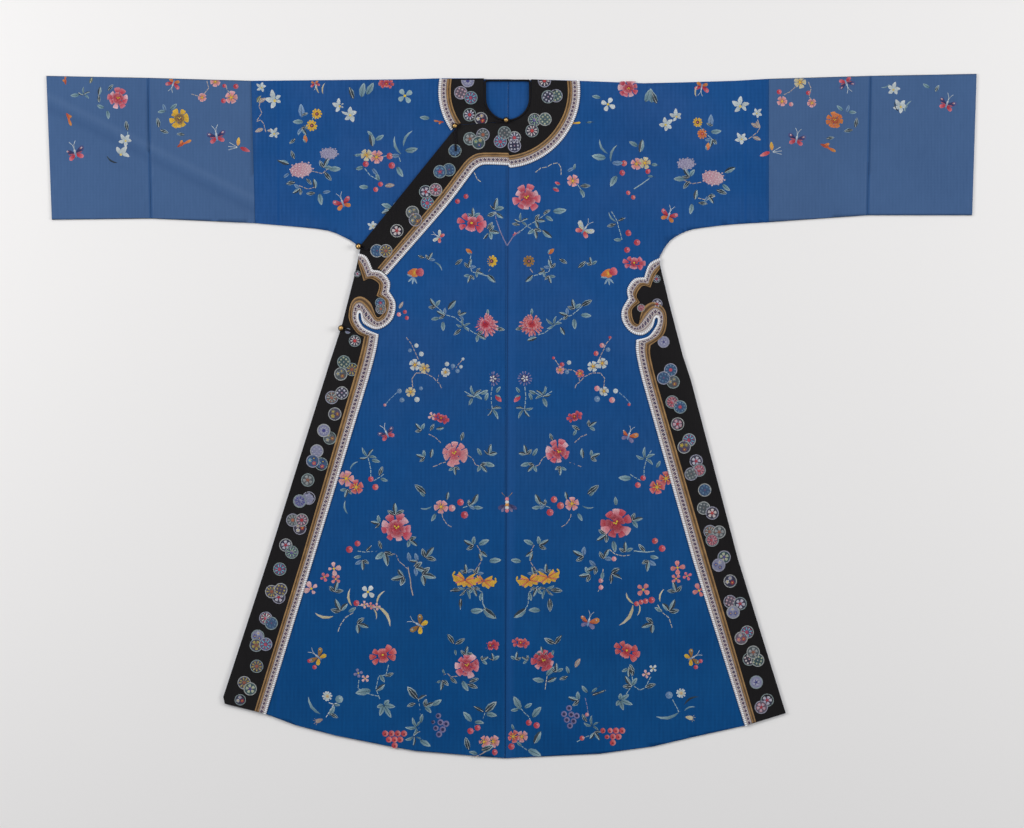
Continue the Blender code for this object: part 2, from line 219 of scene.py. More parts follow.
def calculate(tree, operation, *values):
    """A Math node, whose inputs are numbers or sockets; returns its output."""
    step = tree.nodes.new("ShaderNodeMath")
    step.operation = operation
    for socket, value in zip(step.inputs, values):
        if isinstance(value, (int, float)):
            socket.default_value = value
        else:
            tree.links.new(value, socket)
    return step.outputs[0]


def weighted(tree, start, *terms):
    """A starting number, and each (socket, weight) on top of it."""
    for socket, weight in terms:
        start = calculate(tree, "MULTIPLY_ADD", socket, weight, start)
    return start


def wave(tree, value, pitch, kind="SINE"):
    """A wave from -1 to 1 that repeats at a pitch."""
    turns = calculate(tree, "DIVIDE", value, pitch)
    return calculate(tree, kind, calculate(tree, "MULTIPLY", turns, 2 * math.pi))


def limited(tree, value):
    """A value kept between 0 and 1."""
    return add_node(tree, "Clamp", Value=value).outputs[0]


def axes(tree, uv=False):
    """The X, Y and Z of a place on a piece, or of its place on the piece's UV map."""
    place = add_node(tree, "UVMap").outputs["UV"] if uv else add_node(tree, "TexCoord").outputs["Object"]
    return add_node(tree, "SeparateXYZ", Vector=place).outputs


def noise(tree, scale, detail=2, stretch=(1, 1, 1)):
    """Random variation over a piece, from 0 to 1, whose grain may be stretched."""
    place = add_node(tree, "Mapping", Vector=add_node(tree, "TexCoord").outputs["Object"], Scale=stretch)
    return add_node(tree, "TexNoise", Vector=place.outputs[0], Scale=scale, Detail=detail).outputs["Fac"]


def blend_colours(tree, share, low, high, how="MIX"):
    """A colour Mix node between two colours or sockets; returns its output."""
    mix = tree.nodes.new("ShaderNodeMix")
    mix.data_type = "RGBA"
    mix.blend_type = how
    for socket, value in ((mix.inputs["Factor"], share), (mix.inputs["A"], low), (mix.inputs["B"], high)):
        if isinstance(value, bpy.types.NodeSocket):
            tree.links.new(value, socket)
        else:
            socket.default_value = value
    return mix.outputs["Result"]


def tint(surface, share, colour, how="MIX"):
    """Blends a colour by a share with what feeds a finish's base colour."""
    before = surface.inputs["Base Color"].links[0].from_socket
    fill(surface, Base_Color=blend_colours(surface.id_data, share, before, colour, how))


def add_relief(surface, height, strength, distance=0.0003):
    """Fine relief on a finish."""
    bump = add_node(surface.id_data, "Bump", Strength=strength, Distance=distance, Height=height)
    fill(surface, Normal=bump.outputs["Normal"])


# The weave: warp and weft as fine waves in the plane of the cloth, with slubs and uneven dye
weave, weave_in, weave_out = new_group(
    "silk_weave",
    {"Thread Color": (0.5, 0.5, 0.5, 1), "Shade Color": (0, 0, 0, 1), "Thread Pitch": 0.0011,
     "Grid Pitch": 0.008, "Unevenness": 0.3},
    ("Color", "Height", "Roughness"))
# How much the uneven dye and the slubs show; both noises are centred on one half
DYE_SHARE, SLUB_SHARE = 2.2, 1.6
weave_axes = axes(weave)
threads = [wave(weave, weave_axes[axis], weave_in["Thread Pitch"]) for axis in "XY"]
grid_lines = [wave(weave, weave_axes[axis], weave_in["Grid Pitch"]) for axis in "XY"]
crossing = calculate(weave, "MULTIPLY", *threads)
slubs = noise(weave, 260, 2, (1, 0.12, 1))
share = weighted(weave, -0.5 * (DYE_SHARE + SLUB_SHARE), (noise(weave, 5.5, 5), DYE_SHARE),
                 (slubs, SLUB_SHARE), (grid_lines[0], 0.21), (grid_lines[1], 0.105), (crossing, 0.4))
share = limited(weave, calculate(weave, "MULTIPLY_ADD", share, weave_in["Unevenness"], 0.3))
fill(weave_out, Color=blend_colours(weave, share, weave_in["Thread Color"], weave_in["Shade Color"]),
     Height=weighted(weave, crossing, (slubs, SLUB_SHARE)), Roughness=weighted(weave, 0.55, (share, 0.2)))


def cloth_finish(name, colour, shade, thread=0.0011, grid=0.008, unevenness=0.3, sheen=0.04, bump=0.12):
    """A woven silk: its lit colour, the colour between its threads, and the pitches of its weave."""
    material, surface = new_finish(name)
    woven = surface.id_data.nodes.new("ShaderNodeGroup")
    woven.node_tree = weave
    fill(woven, Thread_Color=colour, Shade_Color=shade, Thread_Pitch=thread, Grid_Pitch=grid,
         Unevenness=unevenness)
    fill(surface, Base_Color=woven.outputs["Color"], Roughness=woven.outputs["Roughness"], Sheen_Weight=sheen,
         Sheen_Roughness=0.4, Sheen_Tint=(0.6, 0.75, 1, 1), Specular_IOR_Level=0.08)
    add_relief(surface, woven.outputs["Height"], bump)
    return material, surface


blue_gauze, gauze_surface = cloth_finish("blue_gauze", BODY_BLUE, BODY_SHADE)
# The colour deepens towards the hem, so the skirt is a little darker than the shoulders, and
# wear and folding have left the cloth paler in broad, soft patches
gauze_tree = blue_gauze.node_tree
towards_hem = limited(gauze_tree, weighted(gauze_tree, 0.38, (axes(gauze_tree)["Y"], -1.3)))
tint(gauze_surface, towards_hem, SKIRT_TONE, "MULTIPLY")
worn = limited(gauze_tree, weighted(gauze_tree, -0.98, (noise(gauze_tree, 5, 5), 2.4)))
tint(gauze_surface, worn, WORN_TONE, "MULTIPLY")


def is_upper(face):
    """The top of a front, and the outer face of the fold along its shoulder."""
    fold = face.normal.y > 0.7 and face.calc_center_median().y > 0.66
    return face.normal.z > 0.7 or fold


def lay_front(node_name, piece_name):
    """A front's thin shell, which lies on the solid's upper face and follows the ridges."""
    shape = copied_faces(node_name, is_upper)
    cut_in_cells(shape, WEAVE_CELL)
    for vert in shape.verts:
        if vert.co.z > FRONT_LEVEL:
            vert.co.z += ridge_height(vert.co.x, vert.co.y)
    piece = finish_piece(shape, piece_name, blue_gauze, GAUZE_WALL)
    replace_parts(piece, node_name)


def lay_back(node_name, piece_name):
    """A back's thin shell, flat on the floor, whose outer face looks down."""
    shape = copied_faces(node_name, lambda face: face.normal.z < -0.7)
    bmesh.ops.recalc_face_normals(shape, faces=shape.faces[:])
    if sum(face.normal.z for face in shape.faces) > 0:
        bmesh.ops.reverse_faces(shape, faces=shape.faces[:])
    piece = finish_piece(shape, piece_name, blue_gauze, GAUZE_WALL, smooth=False)
    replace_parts(piece, node_name)


lay_back("back_right", "gauze_back_right")
lay_back("back_left", "gauze_back_left")
lay_front("front_right_under", "gauze_inner_front")
lay_front("front_left", "gauze_left_front")
lay_front("front_right_over", "gauze_overlap")

# Sleeves: each is two loom lengths of a thinner, greyer gauze, a flat tube folded along its top.
# The seam allowances show through, dark where the lengths join. One sleeve has a slanting crease,
# with painted shade along it and a painted highlight beside it.
MM = 0.001
SLEEVE_BLUE = (0.058, 0.119, 0.252, 1)
SLEEVE_SHADE = (0.040, 0.086, 0.194, 1)
SEAM_DARK = (0.018, 0.070, 0.200, 1)
SEAM_DEEP = (0.002, 0.030, 0.120, 1)
ALLOWANCE_BLUE = (0.017, 0.090, 0.285, 1)
FOLD_BLUE = (0.003, 0.060, 0.230, 1)
# Painted shade and painted highlight along the slanting crease on the right sleeve
CREASE_SHADE, CREASE_HIGHLIGHT = (0.034, 0.080, 0.190, 1), (0.085, 0.150, 0.285, 1)
SLEEVE_CELL = 0.010
SLEEVE_TOP, SLEEVE_MIDDLE = 2.7 * MM, 2.0 * MM
# Seams, as (x and y at the underarm, x and y at the fold, in millimetres), from shoulder to cuff
SLEEVE_SEAMS = {
    "right": [(-517, 389, -525, 676), (-727, 398.5, -733, 682), (-927, 396, -938, 686)],
    "left": [(519, 391, 519, 680), (718, 405, 724, 686), (929, 405, 938, 690)],
}

stripe, stripe_in, stripe_out = new_group(
    "seam_and_shade_stripe", {"At": 0, "Slope": 0, "Half Width": 0.004, "Softness": 0.0015}, ("Mask",))
stripe_axes = axes(stripe)
middle = calculate(stripe, "MULTIPLY_ADD", stripe_axes["Y"], stripe_in["Slope"], stripe_in["At"])
aside = calculate(stripe, "ABSOLUTE", calculate(stripe, "SUBTRACT", stripe_axes["X"], middle))
inside = calculate(stripe, "SUBTRACT", stripe_in["Half Width"], aside)
fill(stripe_out, Mask=limited(stripe, calculate(stripe, "DIVIDE", inside, stripe_in["Softness"])))


def add_stripe(surface, low_x, low_y, high_x, high_y, half_width, colour, strength, softness=0.0015):
    """Tints a cloth along a straight line, given in metres: a seam that shows through it, an old fold, or a
    crease's painted shade or highlight.
    """
    slope = (high_x - low_x) / (high_y - low_y)
    line = surface.id_data.nodes.new("ShaderNodeGroup")
    line.node_tree = stripe
    fill(line, At=low_x - slope * low_y, Slope=slope, Half_Width=half_width, Softness=softness)
    tint(surface, calculate(surface.id_data, "MULTIPLY", line.outputs["Mask"], strength), colour)


def is_sleeve_skin(face):
    """The outer faces of a sleeve's tube, without its inner wall and its two end rings."""
    lowest = min(vert.co.z for vert in face.verts)
    middle_height = face.calc_center_median().z
    over = face.normal.z > 0.5 and middle_height > SLEEVE_MIDDLE
    under = face.normal.z < -0.5 and middle_height < 0.4 * SLEEVE_MIDDLE
    return over or under or (abs(face.normal.y) > 0.5 and lowest < 0.3 * SLEEVE_MIDDLE)


def split_edges(piece, name):
    """Keeps a piece's sharp edges crisp, though its faces are smooth."""
    sharp = piece.modifiers.new(name, "EDGE_SPLIT")
    sharp.split_angle = math.radians(50)


for side, seams in SLEEVE_SEAMS.items():
    sleeve_gauze, sleeve_surface = cloth_finish(
        f"sleeve_gauze_{side}", SLEEVE_BLUE, SLEEVE_SHADE, 0.0010, 0.0065, 0.35)
    add_stripe(sleeve_surface, *(value * MM for value in seams[1]), 0.0042, SEAM_DARK, 0.62)
    if side == "right":
        # Painted shade along the crease, and a painted highlight just above it
        add_stripe(sleeve_surface, -0.532, 0.422, -0.729, 0.520, 0.030, CREASE_SHADE, 0.4, 0.028)
        add_stripe(sleeve_surface, -0.532, 0.446, -0.729, 0.544, 0.024, CREASE_HIGHLIGHT, 0.3, 0.022)
    for number, length in enumerate(("mid", "end")):
        node_name = f"sleeve_{length}_{side}"
        sleeve = copied_faces(node_name, is_sleeve_skin)
        cut_in_cells(sleeve, SLEEVE_CELL)
        bmesh.ops.remove_doubles(sleeve, verts=sleeve.verts[:], dist=0.1 * MM)
        for vert in sleeve.verts:
            if vert.co.z > SLEEVE_MIDDLE:
                vert.co.z = SLEEVE_TOP + ridge_height(vert.co.x, vert.co.y)
        piece = finish_piece(sleeve, f"gauze_{node_name}", sleeve_gauze, GAUZE_WALL)
        split_edges(piece, "fold_edge")
        piece.modifiers.move(1, 0)
        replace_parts(piece, node_name)

# The body's own seams and old folds: the centre seam with its pressed allowance, and a deeper
# band down each shoulder, where the cloth lay folded
add_stripe(gauze_surface, -0.006, -0.68, 0.004, 0.50, 0.013, ALLOWANCE_BLUE, 0.32, 0.010)
add_stripe(gauze_surface, -0.0125, -0.68, -0.0065, 0.50, 0.0016, SEAM_DEEP, 0.85)
for middle_x in (-0.470, 0.472):
    add_stripe(gauze_surface, middle_x, 0.40, middle_x, 0.68, 0.003, FOLD_BLUE, 0.5)

# Borders of black satin, stitched down round the collar, along the overlap and up both slits.
# Satin has a smooth face of long floats, so it is glossier than the gauze, and warm black.
SATIN_BLACK = (0.0060, 0.0048, 0.0055, 1)
SATIN_SHADE = (0.0030, 0.0026, 0.0032, 1)
BORDER_WALL = 1.1 * MM
BORDER_CELL = 0.012
BORDERS = [
    # node, width and length of the satin it is cut from in metres, what it lies on
    ("collar_border_right", (0.103, 0.195), "gauze_inner_front"),
    ("collar_lapel_border", (0.300, 0.420), "gauze_left_front"),
    ("slit_border_right", (0.160, 0.960), "gauze_overlap"),
    ("slit_border_left", (0.160, 0.960), "gauze_left_front"),
]

black_satin, satin_surface = cloth_finish(
    "black_satin", SATIN_BLACK, SATIN_SHADE, 0.0007, 0.004, 0.5, 0.02, 0.2)
fill(satin_surface, Specular_IOR_Level=0.16, Anisotropic=0.4)

for node_name, flat, under in BORDERS:
    border = copied_faces(node_name, lambda face: face.normal.z > 0.7)
    area = round(sum(face.calc_area() for face in border.faces), 4)
    cut_in_cells(border, BORDER_CELL)
    for vert in border.verts:
        x, y = vert.co.x, vert.co.y
        vert.co.z += 0.25 * ridge_height(x, y) + 0.00012 * math.sin(90 * x + 40 * y) * math.sin(70 * y)
    piece = finish_piece(border, f"satin_{node_name}", black_satin, BORDER_WALL)
    split_edges(piece, "cut_edge")
    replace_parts(piece, node_name)

# Ribbon and braid: a woven ribbon with a row of florets and a white picot edge, and beside it a
# gold braid of three cords. Both are sewn on the satin's edge and follow the scroll heads.
TRIM_WIDTH = 24.5
BRAID_WIDTH = 8.5
RIBBON_SHARE = 1 - BRAID_WIDTH / TRIM_WIDTH
COLLAR_X, COLLAR_Y = -11, 655
# Heights in millimetres: the gauze's upper face, the overlap's rise above it, the satin on both
CLOTH_LEVEL, OVERLAP_RISE = 2.7, 1.5
SATIN_LEVEL = 1.8
TRIM_TABLES = {
    # outer x, outer y, inner x, inner y (millimetres), is a corner
    "lapel": [(-30, 507, -30, 531, False), (-56, 507, -64, 530, False), (-68, 502, -80, 524, False),
        (-77, 494, -93, 513, False), (-88, 479.5, -108, 494, False), (-136, 417, -155, 433, False),
        (-250.5, 285.5, -270, 298, True)],
    "slit_right": [(-307, 327, -309, 309, True), (-292, 320, -304, 292, False),
        (-280, 294, -298, 272, True), (-261, 290, -284, 277, False), (-246, 271, -267, 265, False),
        (-247, 251, -272, 242, True), (-234, 226, -255, 232, False), (-242, 193, -260, 206, False),
        (-270, 175, -272, 200, False), (-298, 187, -284, 228, False), (-303, 206, -304, 241, False),
        (-308.5, 206, -322, 231, False), (-307, 191, -328, 197, False), (-295, 176, -313, 169, False),
        (-268, 164, -297, 160, True), (-289.5, 72.6, -319, 72.6, False), (-400, -290, -424, -290, False),
        (-495, -600.5, -518, -594.5, True)],
    "slit_left": [(298, 318, 299, 297, True), (278, 306, 288, 280, False), (268, 279, 280, 259, True),
        (248, 276, 264, 262, False), (234, 257, 252, 243, False), (236, 237, 259, 229, True),
        (223, 213, 243, 214, False), (225, 190, 247, 190, False), (241, 169.5, 257, 186, False),
        (264, 163.5, 260, 203, False), (283, 178, 267, 220, False), (289, 196, 287, 230, False),
        (295, 197, 308, 216, False), (293, 183, 313, 190, False), (276, 160, 306, 163, False),
        (251.5, 153, 280, 142, True), (264, 72.6, 291.5, 72.6, False), (366, -290, 397, -290, False),
        (471, -624.5, 493, -616.5, True)],
}
# Between rows further apart than this, the trim runs straight
STRAIGHT_RUN = 200


def eased_rows(table, steps=7):
    """Draws smooth edges through a table's rows, which turn sharply only at its corners."""
    rows = [row[:4] for row in table]
    corners = {0, len(rows) - 1} | {i for i, row in enumerate(table) if row[4]}
    drawn = [rows[0]]
    for i in range(len(rows) - 1):
        here, there = rows[i], rows[i + 1]
        before = here if i in corners else rows[i - 1]
        after = there if i + 1 in corners else rows[i + 2]
        straight = math.dist(here[:2], there[:2]) > STRAIGHT_RUN
        for step in range(1, steps + 1):
            t = step / steps
            values = []
            for a, b, c, d in zip(before, here, there, after):
                if straight:
                    values.append(b + (c - b) * t)
                else:
                    bend = (2 * a - 5 * b + 4 * c - d) * t ** 2 + (3 * b - a - 3 * c + d) * t ** 3
                    values.append(b + 0.5 * ((c - a) * t + bend))
            drawn.append(tuple(values))
    return drawn


def collar_rows(radius, start, end, steps):
    """Rows round the collar, from its outer edge inwards."""
    rows = []
    inner = radius - TRIM_WIDTH
    for step in range(steps + 1):
        angle = math.radians(start + (end - start) * step / steps)
        cosine, sine = math.cos(angle), math.sin(angle)
        rows.append((COLLAR_X + radius * cosine, COLLAR_Y + radius * sine,
                     COLLAR_X + inner * cosine, COLLAR_Y + inner * sine))
    return rows


def paced(rows, pace):
    """The same rows at an even pace along their middle, each with its distance from the start."""
    travelled = [0.0]
    for here, there in zip(rows, rows[1:]):
        outer, inner = math.dist(here[:2], there[:2]), math.dist(here[2:], there[2:])
        travelled.append(travelled[-1] + 0.7 * outer + 0.3 * inner)
    count = max(2, round(travelled[-1] / pace))
    even, i = [], 0
    for step in range(count + 1):
        goal = travelled[-1] * step / count
        while i < len(rows) - 2 and travelled[i + 1] < goal:
            i += 1
        span = travelled[i + 1] - travelled[i] or 1
        t = min(1, max(0, (goal - travelled[i]) / span))
        even.append((*(a + (b - a) * t for a, b in zip(rows[i], rows[i + 1])), goal))
    return even


def outer_level(x):
    """Height of the gauze's upper face on the fronts: the overlap lies on the inner front."""
    return CLOTH_LEVEL + OVERLAP_RISE * min(1, max(0, (-20 - x) / 40))


def back_level(x):
    """Height of the gauze's upper face where only the inner front lies on the back."""
    return CLOTH_LEVEL


def strip(rows, columns, base, pace):
    """A band along the rows. Columns are (share from outer to inner edge, height above its base)."""
    even = paced(rows, pace)
    band = bmesh.new()
    bmesh.ops.create_grid(band, x_segments=len(even) - 1, y_segments=len(columns) - 1, size=0.5)
    layer = band.loops.layers.uv.new("UVMap")
    place_of = {}
    for vert in band.verts:
        ox, oy, ix, iy, travelled = even[round((vert.co.x + 0.5) * (len(even) - 1))]
        share, height = columns[round((vert.co.y + 0.5) * (len(columns) - 1))]
        x, y = ox + (ix - ox) * share, oy + (iy - oy) * share
        vert.co = Vector((x, y, base(x) + height)) * MM
        place_of[vert] = (travelled * MM, share * TRIM_WIDTH * MM)
    for face in band.faces:
        for loop in face.loops:
            loop[layer].uv = place_of[loop.vert]
    bmesh.ops.recalc_face_normals(band, faces=band.faces[:])
    if sum(face.normal.z for face in band.faces) < 0:
        bmesh.ops.reverse_faces(band, faces=band.faces[:])
    return band, even[-1][4]


# The florets: dark four-petalled flowers on white, with small dots of other silks between them.
# The sizes are in metres, across and along the ribbon.
HEART_RADIUS = 0.0006
DOT_ALONG, DOT_ACROSS, DOT_RADIUS = 0.0041, 0.0021, 0.0014
EDGE_LINE, EDGE_LINE_WIDTH = 0.0047, 0.0005
floret, floret_in, floret_out = new_group(
    "ribbon_florets", {"Repeat": 0.0082, "Middle": 0.0101, "Size": 0.0031},
    ("Flower", "Heart", "Dots", "Dye", "Edge Line"))
floret_place = axes(floret, uv=True)
turns = calculate(floret, "DIVIDE", floret_place["X"], floret_in["Repeat"])
local_u = calculate(floret, "SUBTRACT", calculate(floret, "FRACT", turns), 0.5)
local_u = calculate(floret, "MULTIPLY", local_u, floret_in["Repeat"])
local_v = calculate(floret, "SUBTRACT", floret_place["Y"], floret_in["Middle"])
squares = [calculate(floret, "MULTIPLY", value, value) for value in (local_u, local_v)]
radius = calculate(floret, "SQRT", calculate(floret, "ADD", *squares))
heading = calculate(floret, "MULTIPLY", calculate(floret, "ARCTAN2", local_v, local_u), 4)
lobes = weighted(floret, 0.85, (calculate(floret, "COSINE", heading), 0.15))
reach = calculate(floret, "MULTIPLY", lobes, floret_in["Size"])


def off_line(value, line):
    """How far a value, whatever its sign, is from a line."""
    away = calculate(floret, "SUBTRACT", calculate(floret, "ABSOLUTE", value), line)
    return calculate(floret, "ABSOLUTE", away)


dot = calculate(floret, "ADD", off_line(local_u, DOT_ALONG), off_line(local_v, DOT_ACROSS))
pick = floret.nodes.new("ShaderNodeTexWhiteNoise")
pick.noise_dimensions = "1D"
fill(pick, W=calculate(floret, "FLOOR", turns))
fill(floret_out, Dye=pick.outputs["Value"])
for label, value, limit in (
        ("Flower", radius, reach), ("Heart", radius, HEART_RADIUS), ("Dots", dot, DOT_RADIUS),
        ("Edge_Line", off_line(local_v, EDGE_LINE), EDGE_LINE_WIDTH)):
    fill(floret_out, **{label: calculate(floret, "LESS_THAN", value, limit)})

RIBBON_GROUND, RIBBON_SHADE = (0.52, 0.49, 0.48, 1), (0.34, 0.31, 0.30, 1)
FLORET_NAVY = (0.012, 0.012, 0.050, 1)
FLORET_PURPLE = (0.050, 0.016, 0.055, 1)
FLORET_HEART = (0.5, 0.35, 0.4, 1)
DOT_ROSE = (0.27, 0.15, 0.15, 1)
EDGE_LILAC = (0.20, 0.12, 0.11, 1)
ribbon_silk, ribbon_surface = cloth_finish(
    "ribbon_silk", RIBBON_GROUND, RIBBON_SHADE, 0.0006, 0.003, 0.35, 0.05, 0.3)
florets = ribbon_silk.node_tree.nodes.new("ShaderNodeGroup")
florets.node_tree = floret
flower_dye = blend_colours(ribbon_silk.node_tree, florets.outputs["Dye"], FLORET_NAVY, FLORET_PURPLE)
for label, colour in (("Edge Line", EDGE_LILAC), ("Dots", DOT_ROSE), ("Flower", flower_dye),
                      ("Heart", FLORET_HEART)):
    tint(ribbon_surface, florets.outputs[label], colour)

# Braid: each cord is twisted, so slanting threads show along it. Light and shade are painted on:
# each cord and twist is bright on top, with brown painted shade between, mixed with random tarnish
BRAID_LIT_GOLD = (0.44, 0.255, 0.100, 1)
BRAID_SHADE_BROWN = (0.055, 0.026, 0.010, 1)
TWIST_PITCH, CORD_PITCH, FIRST_CORD = 0.0015, 0.0062, 0.0172
gold_braid, braid_surface = new_finish("gold_braid")
braid_tree = gold_braid.node_tree
braid_place = axes(braid_tree, uv=True)
twist = wave(braid_tree, weighted(braid_tree, braid_place["X"], (braid_place["Y"], 0.7)), TWIST_PITCH)
from_cord = calculate(braid_tree, "SUBTRACT", braid_place["Y"], FIRST_CORD)
cords = wave(braid_tree, from_cord, CORD_PITCH, "COSINE")
tarnish = noise(braid_tree, 60)
# Painted light and shade across the cords and twists, with random tarnish
painted_light_and_tarnish = limited(braid_tree, weighted(braid_tree, 0, (twist, 0.30), (cords, 0.42), (tarnish, 0.7)))
fill(braid_surface, Base_Color=blend_colours(braid_tree, painted_light_and_tarnish, BRAID_SHADE_BROWN, BRAID_LIT_GOLD),
     Roughness=0.5, Specular_IOR_Level=0.3)
add_relief(braid_surface, twist, 0.6)

PICOT_WHITE, PICOT_SHADE = (0.93, 0.93, 0.95, 1), (0.72, 0.72, 0.75, 1)
picot_silk, _ = cloth_finish("picot_silk", PICOT_WHITE, PICOT_SHADE, 0.0006, 0.003, 0.4, 0.1, 0.3)
PICOT_PITCH, PICOT_LENGTH, PICOT_HALF_WIDTH, PICOT_HEIGHT = 3.8, 6.2, 1.55, 0.95
RIBBON_COLUMNS = [(-0.01, 0.1), (0.04, 0.45), (0.19, 0.45), (0.225, 0.25), (0.25, 0.42), (0.42, 0.55),
                  (0.59, 0.42), (RIBBON_SHARE - 0.012, 0.2)]
BRAID_COLUMNS = [(RIBBON_SHARE, 0.2), (0.675, 0.75), (0.715, 0.85), (0.752, 0.35), (0.80, 0.60), (0.85, 0.60),
                 (0.895, 0.35), (0.935, 0.85), (0.975, 0.75), (0.998, 0.1)]


def sew_trim(side, rows, base):
    """Lays the ribbon, its picots and the braid along the rows, on the satin border."""
    def top(x):
        return base(x) + SATIN_LEVEL
    band, length = strip(rows, RIBBON_COLUMNS, top, 3.0)
    ribbon = finish_piece(band, f"woven_ribbon_{side}", ribbon_silk, 1.0 * MM)
    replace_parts(ribbon, f"ribbon_{side}")
    picots = bmesh.new()
    for ox, oy, ix, iy, _ in paced(rows, PICOT_PITCH):
        across = Vector((ix - ox, iy - oy, 0)).normalized()
        along = Vector((-across.y, across.x, 0))
        picot = bmesh.ops.create_cone(picots, cap_ends=True, segments=8, radius1=1, radius2=0.45, depth=1)
        for vert in picot["verts"]:
            u, v, w = vert.co
            spot = Vector((ox, oy, 0)) + across * (PICOT_LENGTH * (0.5 + 0.56 * u) - 0.7)
            spot += along * (PICOT_HALF_WIDTH * v)
            spot.z = top(ox) + 0.1 + PICOT_HEIGHT * (w + 0.5)
            vert.co = spot * MM
    bmesh.ops.recalc_face_normals(picots, faces=picots.faces[:])
    edging = finish_piece(picots, f"picot_edge_{side}", picot_silk)
    cords, _ = strip(rows, BRAID_COLUMNS, top, 2.0)
    braid = finish_piece(cords, f"gold_braid_{side}", gold_braid, 0.6 * MM)
    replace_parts(braid, f"braid_{side}")


right_arm = [(-145, 679, -120.5, 680)] + collar_rows(136, 174, 215, 12)
# The lapel's trim was sewn on after the collar's, and meets it in a step under the neck
left_arm = [(137, 675, 112, 676)]
for number, (ox, oy, ix, iy) in enumerate(collar_rows(149, 4, -87, 40)):
    drop = 5.5 * max(0, (number - 16) / 24)
    left_arm.append((ox, oy - drop, ix, iy - drop))
left_arm += collar_rows(149, -88, -89, 1)
sew_trim("collar_right", right_arm, back_level)
left_arm += eased_rows(TRIM_TABLES["lapel"])
sew_trim("collar_lapel", left_arm, outer_level)
for side in ("slit_right", "slit_left"):
    sew_trim(side, eased_rows(TRIM_TABLES[side]), outer_level)

# Embroidery in silk floss, worked on each panel before the robe was sewn up. Every petal and leaf
# is a low patch of long stitches, shaded from its heart to its rim, and laid beside the next one.
PIXEL_MM = PIXEL / MM
PATCH_HEIGHT = 0.42
STITCH_LENGTH, STITCH_LAP = 9, 1.4
random.seed(1870)

# Silk colours, as (rim, heart, deep)
DYES = {
    "rose": ((0.90, 0.46, 0.54), (0.56, 0.014, 0.05), (0.44, 0.005, 0.025)),
    "red": ((0.84, 0.24, 0.30), (0.50, 0.008, 0.03), (0.34, 0.004, 0.02)),
    "coral": ((0.88, 0.36, 0.34), (0.56, 0.025, 0.04), (0.46, 0.012, 0.025)),
    "pink": ((0.88, 0.62, 0.60), (0.72, 0.20, 0.24), (0.56, 0.04, 0.08)),
    "white": ((0.80, 0.83, 0.82), (0.52, 0.60, 0.62), (0.70, 0.62, 0.30)),
    "cream": ((0.68, 0.64, 0.52), (0.60, 0.52, 0.30), (0.55, 0.36, 0.12)),
    "yellow": ((0.84, 0.60, 0.03), (0.76, 0.40, 0.02), (0.10, 0.03, 0.05)),
    "orange": ((0.74, 0.34, 0.06), (0.66, 0.13, 0.03), (0.40, 0.05, 0.02)),
    "gold": ((0.46, 0.28, 0.05), (0.30, 0.13, 0.02), (0.04, 0.03, 0.06)),
    "lilac": ((0.30, 0.27, 0.46), (0.17, 0.15, 0.36), (0.08, 0.06, 0.22)),
    "navy": ((0.10, 0.10, 0.30), (0.012, 0.015, 0.10), (0.50, 0.10, 0.14)),
    "blue": ((0.24, 0.40, 0.58), (0.12, 0.24, 0.46), (0.05, 0.10, 0.30)),
    "pale": ((0.42, 0.58, 0.61), (0.12, 0.25, 0.32), (0.08, 0.18, 0.24)),
    "dark": ((0.020, 0.060, 0.085), (0.006, 0.020, 0.040), (0.01, 0.02, 0.03)),
    "olive": ((0.24, 0.24, 0.09), (0.13, 0.14, 0.05), (0.08, 0.08, 0.03)),
    "tan": ((0.56, 0.46, 0.40), (0.38, 0.28, 0.24), (0.22, 0.12, 0.08)),
}
RIB_WHITE = (0.72, 0.78, 0.78)
PETAL_WHITE = (0.86, 0.74, 0.76)
FLORET_PALE, FLORET_GREY = (0.62, 0.60, 0.68), (0.40, 0.36, 0.46)


def mixed(low, high, share):
    """A colour between two others."""
    return tuple(a + (b - a) * share for a, b in zip(low, high))


def around(near, heading):
    """The place at a distance from a motif's middle, in a direction given in degrees."""
    return near * math.cos(math.radians(heading)), near * math.sin(math.radians(heading))


class Panel:
    """The needlework on one piece of cloth, whose upper face lies at a known height."""

    def __init__(self, name, level, above=0.0, ridge_share=1.0):
        self.name, self.level, self.above, self.ridge_share = name, level, above, ridge_share
        self.shape = bmesh.new()
        self.dye = self.shape.verts.layers.float_color.new("dye")
        self.uv = self.shape.loops.layers.uv.new("UVMap")

    def height(self, x, y):
        """Height in millimetres of the cloth at a place in millimetres."""
        return self.level(x) + self.above + self.ridge_share * ridge_height(x * MM, y * MM) / MM

    def finish(self, name, slot, place, normal):
        """Cuts off what goes over a fold, and makes the panel's stitches a piece."""
        cut_across(self.shape, place, normal, clear_outer=True)
        bmesh.ops.recalc_face_normals(self.shape, faces=self.shape.faces[:])
        finish_piece(self.shape, name, silk_floss, smooth=False)


